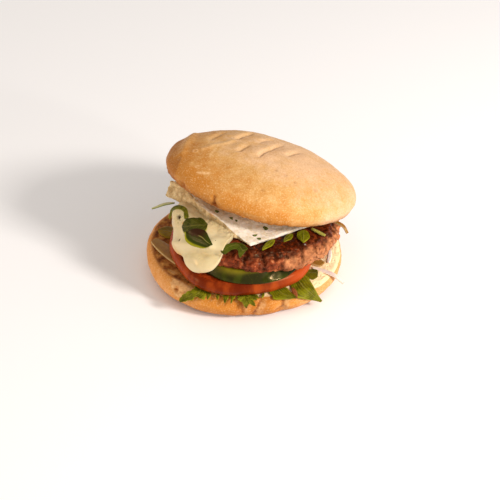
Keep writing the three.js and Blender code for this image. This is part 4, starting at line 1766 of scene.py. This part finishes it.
@dataclass(frozen=True)
class Rim:
    """A rim that flat food folds over: level to a radius, round a bend, then down a slope."""

    radius: Callable[[np.ndarray, np.ndarray], np.ndarray]
    bend: float
    fall: float
    height: float
    opens: bool = False

    def fold(self, x: np.ndarray, y: np.ndarray, lift: np.ndarray) -> tuple[np.ndarray, np.ndarray]:
        """Lay plan points over the rim.

        Args:
            x: Places along X on the flat food.
            y: Places along Y.
            lift: How high each stands above the surface.

        Returns:
            The points and the surface's normals there.
        """
        distance = np.hypot(x, y)
        radius = self.radius(x, y)
        fall = math.radians(self.fall)
        past = np.maximum(0, distance - radius)
        turn = np.minimum(past / self.bend, fall)
        straight = np.maximum(0, past - self.bend * fall)
        outward = np.minimum(distance, radius) + self.bend * np.sin(turn) + straight * math.cos(fall)
        drop = self.bend * (1 - np.cos(turn)) + straight * math.sin(fall)
        safe = np.maximum(distance, 1e-9)
        heading = np.stack([x / safe, y / safe], axis=-1)
        normal = np.concatenate([heading * np.sin(turn)[..., None], np.cos(turn)[..., None]], axis=-1)
        point = np.concatenate([heading * outward[..., None], (self.height - drop)[..., None]], axis=-1)
        return point + normal * np.asarray(lift)[..., None], normal


def fixed(radius: float) -> Callable[[np.ndarray, np.ndarray], np.ndarray]:
    """Give a rim of one radius all round."""
    return lambda x, y: np.full(np.shape(x), radius)


def past_tomato(x: np.ndarray, y: np.ndarray) -> np.ndarray:
    """Tell how open a leaf is beside the tomato.

    Args:
        x: Places along X.
        y: Places along Y.

    Returns:
        0 under the tomato and 1 past its edge.
    """
    slice_ = Tomato()
    past = np.hypot(x - slice_.place[0], y - slice_.place[1]) - slice_.radius - slice_.bulge
    return ease(past, 0.5, 4.0)


def heel_rim(x: np.ndarray, y: np.ndarray) -> np.ndarray:
    """Give the radius where leaves start to bend over the bottom bun."""
    return HEEL.radius(x, y) - 3.4


HEEL_EDGE = Rim(heel_rim, bend=4.6, fall=74, height=0.3, opens=True)
ARC_EDGE = Rim(heel_rim, bend=16, fall=32, height=0.3)
MELT_EDGE = Rim(fixed(45.3), bend=6, fall=70, height=16.7)
PATTY_EDGE = Rim(fixed(44.3), bend=5, fall=66, height=14.3)
BLADE_EDGE = Rim(fixed(50), bend=16, fall=34, height=13.0)
STRAND_EDGE = Rim(fixed(Patty.radius), bend=4, fall=46, height=14.5)


@dataclass
class Melt:
    """The molten sheet that leaves the slab's long side and runs over the patty's edge."""

    facing: float = 231.5
    start: float = 32.5
    thickness: float = 4.2
    rows: int = 100
    columns: int = 190
    seed: int = 61
    fold: Knots = ((-54.5, -42.5), (-46.7, -43.4), (-40.5, -45.0), (-35.0, -47.4), (-26.0, -49.0))
    brow: Knots = ((-57.0, -33.0), (-46.0, -38.0), (-38.0, -41.0), (-30.0, -43.5))
    swells: Knots = ((-41, -52.5, 0, 6.5), (-52, -16, 0, 4.5))
    holes: Knots = ((-49.0, -19.9, 0, 1.0), (-45.8, -32.4, 0, 0.7), (-50.9, -34, 0, 0.5))
    browned: Knots = ((-59.5, -37.5, 0, 3.0), (-57.0, -41.0, 0, 2.4), (-46.5, -25.2, 0, 1.0))
    chives: Knots = ((-48.6, -21.0, 0, 2.6),)
    reach: Knots = (
        (189, 47),
        (194, 54),
        (196, 61),
        (201, 62.5),
        (205, 66),
        (209, 69.6),
        (214, 70.2),
        (219, 69.2),
        (224, 72),
        (230, 72.6),
        (236, 70.2),
        (241, 66.3),
        (243.6, 61),
        (244.3, 56),
        (244.6, 50),
    )

    def form(self) -> Form:
        """Shape the sheet and mark its rind, the painted shade in its holes and its browned spots.

        Returns:
            The shape in the piece's own frame.
        """
        ends = smooth(list(self.reach), self.columns)
        outward = np.linspace(0, 1, self.rows + 1)[:, None] ** 0.85
        bearing, far = ends[:, 0][None, :], ends[:, 1][None, :]
        around = np.linspace(0, 1, self.columns + 1)[None, :]
        near = self.start / np.cos(np.radians(bearing - self.facing)) + 5.5 * ease(bearing, 236, 246)
        distance = near + (np.maximum(far, near + 2) - near) * outward
        angle = np.radians(bearing)
        x, y = distance * np.cos(angle), distance * np.sin(angle)
        margin = np.minimum(np.minimum(1 - outward, 2 * around), 2 * (1 - around))
        full = np.sqrt(1 - (1 - unit(margin * 6)) ** 2)
        point, normal = MELT_EDGE.fold(x, y, 0 * x)
        places, plan = point.reshape(-1, 3), np.stack([x, y, 0 * x], axis=-1).reshape(-1, 3)
        grain = Grain(self.seed)
        fold, brow = near_line(plan[:, :2], self.fold), near_line(plan[:, :2], self.brow)
        relief = 1.2 * grain.at(places, 13) + 0.6 * grain.at(places, 6)
        relief += 1.9 * bell(brow.away, 0, 2.8) - 1.9 * bell(fold.away, 0, 2.0)
        holes = spots(plan, self.holes)
        relief += 1.6 * spots(plan, self.swells) - 1.6 * holes
        beside_slab = ease(outward, 0.4, 0.0) * grain.at(places, 2.6, 3).reshape(x.shape)
        relief = relief.reshape(x.shape) + 0.6 * beside_slab
        sink = self.thickness * (0.55 - 0.5 * full)
        depth = self.thickness * (0.6 + 0.4 * full)
        outer = point + normal * (relief * full - sink)[..., None]
        inner = point + normal * (np.minimum(relief, 0) * full - depth)[..., None]
        form = sheet(outer, inner)
        marks = {
            "rind": (0.5 * ease(outward, 0.34, 0.04) * np.ones_like(x)).ravel(),
            # Painted shade in the sunk holes.
            "fleck": unit(1.5 * holes),
            "chives": spots(plan, self.chives),
            "browned": spots(plan, self.browned),
        }
        form.marks = {
            **{name: np.tile(values, 2) for name, values in marks.items()},
            "herbs": ease(form.points[:, 2], 9, 13),
        }
        return form

    def build(self, finish: bpy.types.Material, herbs: bpy.types.Material) -> None:
        """Build the sheet and the flecks in it.

        Args:
            finish: The sheet's material.
            herbs: The flecks' material.
        """
        piece = self.form().at(ON_CUCUMBER).piece("melted_cheese", finish)
        settle(piece, "melt", "cheese_melt")
        sizes = {"per_square_metre": 5000, "smallest": 0.5, "largest": 1.1, "sink": 0.1}
        flecks = Strewing("melt_flecks", Shape.FLAKE, "herbs", seed=15, **sizes)
        settle(flecks.over(piece, herbs), "herb")


class Kind(Enum):
    """The kinds of leaf, each with the slot that it takes and its finish."""

    LETTUCE = (
        "leaf",
        LeafFinish(
            "lettuce", "#434405", "#8a8a12", "#a8994a", veins=9.0, ribbed=0.25, grooved=0.4, mottle=0.6
        ),
    )
    HERB = ("herb", LeafFinish("herb", "#2b3203", "#4a520e", "#8d8440", veins=6.0, ribbed=0.3))
    DARK = ("leaf", LeafFinish("dark_leaf", "#454508", "#68650c", "#8d8440", veins=7.0, ribbed=0.4))
    SPROUT = ("herb", LeafFinish("sprout", "#4e5005", "#7c7a0e", "#a89c4a", veins=5.0, ribbed=0.3))
    CUP = ("herb", CupFinish("cupped_herb"))
    # Its pale rim along the lower edge is a painted highlight along the fold.
    FOLD = (
        "herb",
        LeafFinish("folded_herb", "#2b3203", "#8f8a3a", "#8d8440", veins=6.0, ribbed=0.25, mottle=0.15),
    )
    STALK = ("stem", LeafFinish("red_stalk", "#8a4a26", "#a5623a", "#b5855c", veins=2.0, ribbed=0.3))
    RING = ("herb", LeafFinish("lime_herb", "#3a4206", "#7d7a10", "#8d8440", veins=5.0, ribbed=0.2))
    BLADE = (
        "herb",
        LeafFinish("pale_blade", "#b9b58a", "#69761f", "#e6e3cf", veins=2.0, ribbed=0.9, mottle=0.2),
    )
    OLD = ("leaf", LeafFinish("old_leaf", "#6b540b", "#86690f", "#9a8240", veins=5.0, ribbed=0.2))
    STEM = ("stem", LeafFinish("stem", "#8f8a34", "#a9a24c", "#c6bb83", veins=2.0))
    ONION = ("onion", OnionFinish("cooked_onion"))
    RAW = ("onion", OnionFinish("raw_onion", "#efe0d2", "#fff6ee", "#d9c0b8", lined=0.3))

    @property
    def slot(self) -> str:
        """Give the record's material slot."""
        return self.value[0]

    @property
    def finish(self) -> LeafFinish | CupFinish | OnionFinish:
        """Give the finish."""
        return self.value[1]


@dataclass(frozen=True)
class Leaf:
    """A leaf or a strip of onion: where it grows from, how it runs and how its edge is cut."""

    node: str
    kind: Kind
    rim: Rim
    place: Place
    root: tuple[float, float] = (0.0, 0.0)
    bearing: float = 0.0
    length: float = 20.0
    width: float = 4.0
    widest: float = 0.45
    tip: float = 0.7
    ruffle: float = 0.0
    lift: float = 0.0
    curl: float = 0.0
    thickness: float = 0.8
    blunt: bool = False
    frill: float = 0.0
    cup: float = 0.0
    rim_side: int = 0
    rimmed: tuple[float, float] = (0.8, 1.0)
    edges: tuple[Knots, Knots] | None = None
    is_node: bool = True

    def spine(self, rows: int) -> tuple[np.ndarray, np.ndarray]:
        """Give the midrib and, at each place on it, the way to the left edge.

        Args:
            rows: How many steps it is cut into.

        Returns:
            Both as rows + 1 pairs of X and Y on the flat food.
        """
        if self.edges:
            right, left = (smooth(list(edge), rows) for edge in self.edges)
            return (right + left) / 2, (left - right) / 2
        share = np.linspace(0, 1, rows + 1)
        heading = np.radians(self.bearing + self.curl * share)
        steps = np.stack([np.cos(heading), np.sin(heading)], axis=-1) * self.length / rows
        middle = np.vstack([np.zeros(2), np.cumsum(steps[:-1], axis=0)]) + np.array(self.root)
        out = np.stack([-np.sin(heading), np.cos(heading)], axis=-1)
        return middle, out * self.half_width(share)[:, None]

    def half_width(self, share: np.ndarray) -> np.ndarray:
        """Give the half-width along the midrib.

        Args:
            share: How far along it each place is, from 0 to 1.

        Returns:
            The half-width there.
        """
        if self.blunt:
            blade = np.sin(np.pi * (0.06 + 0.88 * share)) ** 0.35
        else:
            skew = math.log(0.5) / math.log(self.widest)
            blade = np.maximum(np.sin(np.pi * np.minimum(1, share**skew)), 0) ** self.tip
        return np.maximum(0.2, self.width / 2 * blade)

    def form(self) -> Form:
        """Lay the leaf over its rim and mark its midrib and its edge.

        Returns:
            The shape in the piece's own frame.
        """
        rows, columns = max(40, round(self.length * 3)), 28
        share = np.linspace(0, 1, rows + 1)[:, None]
        side = np.linspace(-1, 1, columns + 1)[None, :]
        grain = Grain(sum(map(ord, self.node)))
        grid = np.ones((rows + 1, columns + 1))
        seeds = np.stack([share * self.length * grid, np.sign(side) * 5 * grid, 0 * grid], axis=-1)
        jag = grain.at(seeds.reshape(-1, 3), 2.2, 2).reshape(grid.shape)
        middle, across = self.spine(rows)
        reach = side * (1 + self.frill * jag * np.abs(side) ** 4)
        x = middle[:, :1] + reach * across[:, :1]
        y = middle[:, 1:] + reach * across[:, 1:]
        waves = max(1.5, self.length / 11)
        wave = 0.5 + 0.5 * np.sin(2 * np.pi * waves * share + side)
        opened = past_tomato(x, y) if self.rim.opens else 1.0
        fine = 0.5 + 0.5 * np.sin(2 * np.pi * waves * 3.1 * share + 4 * np.sign(side) + 2 * jag)
        ruffled = self.ruffle * np.abs(side) * wave + 1.1 * self.frill * np.abs(side) ** 3 * fine
        lift = self.lift + opened * ruffled
        lift = lift + self.cup * ease(-side, 0.35, 1.0)
        inner, normal = self.rim.fold(x, y, lift)
        thin = self.thickness * (1 - 0.55 * np.abs(side) ** 5) + 0 * share
        vein = 0.25 * bell(side, 0, 0.1) * self.thickness * (self.kind.slot != "onion")
        form = sheet(inner + normal * (thin + vein)[..., None], inner)
        rim = ease(side * self.rim_side if self.rim_side else np.abs(side), *self.rimmed) * grid
        marks = {"along": share * grid, "side": side * grid, "rim": rim}
        form.marks = {name: np.tile(values.ravel(), 2) for name, values in marks.items()}
        return form

    def build(self, finish: bpy.types.Material) -> None:
        """Build the piece."""
        piece = self.form().at(self.place).piece(f"{self.node}_leaf", finish)
        settle(piece, self.kind.slot, *[self.node] * self.is_node)


LEFT_FRILL = (
    ((-22.0, -36.0), (-26.7, -40.3), (-28.5, -44.4), (-32.0, -46.3), (-35.7, -47.1), (-38.1, -49.4)),
    (
        (-15.5, -39.0), (-19.8, -44.3), (-21.3, -49.1), (-23.6, -51.0),
        (-26.3, -49.2), (-29.2, -50.3), (-33.0, -50.2), (-38.0, -50.7),
    ),
)
MIDDLE_FRILL = (
    ((-2.0, -36.0), (-2.8, -45.9), (-2.2, -51.6), (-0.4, -54.1), (1.1, -56.0)),
    ((6.0, -36.0), (7.4, -45.3), (6.3, -50.6), (3.5, -53.5), (1.7, -56.0)),
)
RIGHT_LEAF = (
    ((10.5, -35.0), (12.6, -41.4), (15.7, -46.9), (17.5, -50.1), (24.3, -49.0), (29.2, -47.5)),
    ((17.0, -32.0), (20.6, -37.3), (24.5, -39.7), (27.1, -44.5), (29.4, -46.9)),
)
LARGE_LEAF = (
    ((24.0, -29.0), (26.3, -36.0), (27.9, -43.1), (30.0, -46.8), (38.0, -45.9), (48.0, -44.3)),
    ((29.0, -19.0), (33.0, -23.7), (37.0, -29.0), (40.4, -38.8), (48.7, -42.9)),
)
SMALL_LEAF = (
    ((30.0, -23.0), (33.5, -26.5), (37.1, -29.9), (40.0, -31.2), (42.4, -29.4)),
    ((31.0, -21.5), (34.7, -22.2), (38.8, -22.0), (42.0, -20.7), (42.9, -24.9)),
)
UPPER_HERB = (
    ((-31.4, -28.4), (-34.6, -24.5), (-38.6, -23.9), (-43.1, -24.7), (-46.6, -27.1)),
    ((-31.2, -29.4), (-32.3, -35.7), (-36.7, -36.6), (-43.1, -34.6), (-46.8, -30.8), (-47.2, -27.5)),
)
RING_HERB = (
    ((-41.8, -23.4), (-42.9, -17.8), (-45.3, -14.0), (-50.2, -11.2), (-55.2, -10.6), (-58.6, -13.4)),
    ((-44.1, -24.0), (-45.0, -18.7), (-47.1, -16.1), (-51.5, -13.9), (-54.6, -13.2), (-56.6, -16.5)),
)
HOOK_HERB = (
    (
        (-22.6, -45.0), (-21.2, -46.4), (-18.8, -45.7), (-16.0, -44.6),
        (-13.7, -45.0), (-13.0, -47.0), (-11.8, -48.3), (-8.6, -45.0),
    ),
    (
        (-22.4, -44.2), (-21.2, -42.9), (-18.6, -41.7), (-14.8, -41.0),
        (-12.0, -41.3), (-10.0, -42.6), (-8.2, -44.6),
    ),
)
LOWER_HERB = (
    ((-43.2, -32.2), (-43.8, -36.8), (-40.8, -40.7), (-36.1, -43.2), (-32.2, -44.2), (-28.1, -43.5)),
    ((-42.3, -31.9), (-37.3, -32.5), (-32.3, -35.1), (-29.6, -39.5), (-27.8, -43.1)),
)
FRILLS = (
    (-14.6, -44.0, 268, 8.0, 2.2, 0.1),
    (-4.6, -42.0, 258, 12.5, 2.6, 0.1),
    (1.5, -49.0, 335, 6.5, 2.4, 0.6),
    (2.0, -51.5, 325, 5.5, 2.2, 0.8),
    (0.5, -50.0, 205, 4.5, 2.0, 0.5),
    (3.5, -46.5, 322, 6.5, 2.0, 0.4),
    (-19.5, -46.0, 262, 5.5, 2.2, 0.1),
    (11.5, -45.5, 250, 4.5, 1.6, 0.1),
)


@dataclass
class Salad:
    """All the leaves and onion."""

    frills: Knots = FRILLS

    def under_tomato(self) -> list[Leaf]:
        """Give what lies between the bottom bun and the tomato.

        Returns:
            The leaves, the onion and the frills between them.
        """
        green = partial(Leaf, kind=Kind.LETTUCE, rim=HEEL_EDGE, place=ON_HEEL)
        onion = partial(Leaf, kind=Kind.ONION, rim=HEEL_EDGE, place=ON_HEEL, blunt=True)
        frill = partial(green, ruffle=1.2, frill=0.6, is_node=False)
        frills = [
            frill(f"frill_{index}", root=(x, y), bearing=bearing, length=length, width=width, lift=lift)
            for index, (x, y, bearing, length, width, lift) in enumerate(self.frills)
        ]
        front = {"root": (-8.5, -36), "bearing": 263, "length": 18, "width": 4, "widest": 0.6}
        stalk = {"root": (27.6, -40.5), "bearing": 290, "length": 7, "width": 2.6, "lift": 0.6}
        back = {"root": (-33, 5), "bearing": 168, "length": 18.5, "width": 11, "widest": 0.6}
        strip = {"root": (50.8, -3), "bearing": 266, "length": 12.3, "width": 2.4, "curl": -8}
        return [
            green("lettuce_left", length=26, ruffle=1.4, frill=0.3, edges=LEFT_FRILL),
            green("lettuce_front", ruffle=1, frill=0.5, **front),
            green("lettuce_middle", length=22, ruffle=1.4, frill=0.35, edges=MIDDLE_FRILL),
            green("lettuce_right", length=24, ruffle=0.6, frill=0.06, edges=RIGHT_LEAF),
            green("lettuce_large", length=34, ruffle=0.5, frill=0.02, edges=LARGE_LEAF),
            green("lettuce_small", kind=Kind.DARK, length=14, ruffle=0.5, frill=0.04, edges=SMALL_LEAF),
            *frills,
            green("red_stalk", kind=Kind.STALK, is_node=False, **stalk),
            green("leaf_back", kind=Kind.OLD, ruffle=0.6, **back),
            onion("onion_left", root=(-33, -24.5), bearing=130, length=31, width=9, thickness=1.0),
            onion("onion_right", root=(31, -9), bearing=337, length=17, width=8, curl=-12, thickness=1.0),
            onion("onion_strip", kind=Kind.RAW, thickness=0.7, **strip),
        ]

    def on_top(self) -> list[Leaf]:
        """Give what lies on the patty and the cheese, and past the bottom bun.

        Returns:
            The herbs and the onion.
        """
        molten = partial(Leaf, rim=MELT_EDGE, place=ON_CUCUMBER)
        meaty = partial(Leaf, rim=PATTY_EDGE, place=ON_CUCUMBER)
        sprout = partial(meaty, kind=Kind.SPROUT, ruffle=0.5)
        strip = partial(Leaf, blunt=True)
        # herb_upper's pale lower rim: painted highlight along the fold.
        folded = {"length": 19, "ruffle": 0.7, "frill": 0.05, "rim_side": 1, "rimmed": (0.72, 0.85)}
        cupped = {"length": 19, "ruffle": 0.4, "lift": 1.0, "cup": 1.6, "rim_side": -1, "rimmed": (0.62, 0.8)}
        stem = {"root": (28.7, -17.4), "bearing": 328, "length": 9, "width": 2, "thickness": 1.2}
        blade = {"root": (-50.2, -7.6), "bearing": 184, "length": 13.5, "width": 2, "thickness": 0.9}
        strand = {"root": (39, -5.3), "bearing": 326, "length": 14.5, "width": 2.2, "thickness": 1.3}
        arc = {"root": (39.9, -20.9), "bearing": 342, "length": 20.5, "width": 2.9, "thickness": 1.1}
        return [
            molten("herb_lobe", Kind.RING, length=22, ruffle=0.5, frill=0.25, edges=RING_HERB),
            molten("herb_upper", Kind.FOLD, edges=UPPER_HERB, **folded),
            molten("herb_lower", Kind.CUP, edges=LOWER_HERB, **cupped),
            meaty("herb_hook", Kind.HERB, length=17, ruffle=0.4, lift=1.5, frill=0.05, edges=HOOK_HERB),
            sprout("herb_sprig", root=(7, -31.8), bearing=237, length=13, width=3.8),
            sprout("herb_bud", root=(17.3, -24.6), bearing=238, length=9.5, width=3.8),
            sprout("herb_round", root=(24, -19.8), bearing=266, length=11.5, width=7.4, ruffle=0.8),
            strip("herb_stem", Kind.STEM, PATTY_EDGE, ON_CUCUMBER, **stem),
            Leaf("herb_blade", Kind.BLADE, BLADE_EDGE, ON_CUCUMBER, **blade),
            strip("onion_strand", Kind.ONION, STRAND_EDGE, ON_CUCUMBER, **strand),
            strip("onion_arc", Kind.RAW, ARC_EDGE, ON_HEEL, curl=-16, **arc),
        ]

    def build(self) -> None:
        """Build every leaf with the finish of its kind."""
        finishes = {kind: kind.finish.make() for kind in Kind}
        for leaf in [*self.under_tomato(), *self.on_top()]:
            leaf.build(finishes[leaf.kind])


def aim(obj: bpy.types.Object, place: Triple, target: Triple) -> None:
    """Put an object somewhere and point its -Z at a target.

    Args:
        obj: A light or a camera.
        place: Where it goes, in metres.
        target: Where it looks.
    """
    obj.location = place
    way = Vector(target) - Vector(place)
    obj.rotation_euler = way.to_track_quat("-Z", "Y").to_euler()


@dataclass(frozen=True)
class Lamp:
    """A soft square light that faces the burger."""

    name: str
    place: Triple
    size: float
    power: float
    tint: str = "#fff6ec"
    target: Triple = (0.0, 0.0, 0.03)

    def hang(self) -> None:
        """Add the light to the scene."""
        data = bpy.data.lights.new(self.name, "AREA")
        data.size, data.energy = self.size, self.power
        data.color = paint(self.tint)[:3]
        aim(stand(self.name, data), self.place, self.target)


@dataclass
class Studio:
    """The floor, the lights and the camera, in metres."""

    elevation: float = 38.0
    distance: float = 0.9
    target: Triple = (0.0035, 0.0, 0.0105)
    lens: float = 109.5
    sensor: float = 36.0
    clip: tuple[float, float] = (0.05, 20.0)
    floor_half: float = 2.0
    floor_height: float = -0.0002
    floor_tone: str = "#f6f8fd"
    sky: str = "#fff8f0"
    sky_strength: float = 0.66
    lamps: tuple[Lamp, ...] = (
        Lamp("key", (0.67, -0.42, 0.54), size=0.16, power=7.8),
        Lamp("window", (0.76, -0.54, 0.27), size=0.07, power=2.0),
        Lamp("fill", (-1.0, -0.42, 0.14), size=0.3, power=3.8, tint="#ffe6c6"),
    )

    def floor(self) -> None:
        """Lay a plain pale floor."""
        half = self.floor_half
        corners = [(x * half, y * half, self.floor_height) for x, y in ((-1, -1), (1, -1), (1, 1), (-1, 1))]
        mesh = bpy.data.meshes.new("floor")
        mesh.from_pydata(corners, [], [(0, 1, 2, 3)])
        mesh.materials.append(Recipe("floor").done(Base_Color=paint(self.floor_tone), Roughness=0.7))
        stand("floor", mesh)

    def sky_light(self) -> None:
        """Light everything evenly."""
        world = bpy.data.worlds.new("studio")
        world.use_nodes = True
        inputs = world.node_tree.nodes["Background"].inputs
        inputs["Color"].default_value = paint(self.sky)
        inputs["Strength"].default_value = self.sky_strength
        bpy.context.scene.world = world
        bpy.context.scene.view_settings.view_transform = "Standard"

    def camera(self) -> None:
        """Set up the camera in front, looking down on the burger."""
        data = bpy.data.cameras.new("camera")
        data.lens, data.sensor_width = self.lens, self.sensor
        data.clip_start, data.clip_end = self.clip
        angle = math.radians(self.elevation)
        away = (0.0, -self.distance * math.cos(angle), self.distance * math.sin(angle))
        camera = stand("camera", data)
        aim(camera, tuple(a + b for a, b in zip(self.target, away)), self.target)
        bpy.context.scene.camera = camera

    def build(self) -> None:
        """Build the studio."""
        self.floor()
        for lamp in self.lamps:
            lamp.hang()
        self.sky_light()
        self.camera()


def write_sizes() -> None:
    """Update the view layer."""
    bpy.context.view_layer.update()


def main() -> None:
    """Build the burger from the bottom up."""
    logging.basicConfig(level=logging.INFO, format="%(message)s")
    Studio().build()
    crust = Crust("top_crust", brown="#b67731").make()
    flecks = SpeckFinish("chopped_herb", "#2f3a12", "#56631f").make()
    HEEL.build(Crust("bottom_crust", "#dca168", "#c68135", "#b46b25").make())
    Tomato().build(TomatoFinish().make())
    green = CucumberFinish().make()
    front = {"x": 1.5, "y": -26.7, "half_width": 30, "half_depth": 24}
    back = {"x": -5, "y": 16.5, "half_width": 30, "half_depth": 17}
    Cucumber("cucumber_slice", "cucumber_front", **front).build(green)
    Cucumber("cucumber_slice_back", "cucumber_back", **back).build(green)
    Patty().build(Meat().make())
    Slab().build(CheeseFinish().make(), flecks)
    Melt().build(MeltFinish().make(), flecks)
    Salad().build()
    TopBun().build(crust)
    write_sizes()


if __name__ == "__main__":
    main()
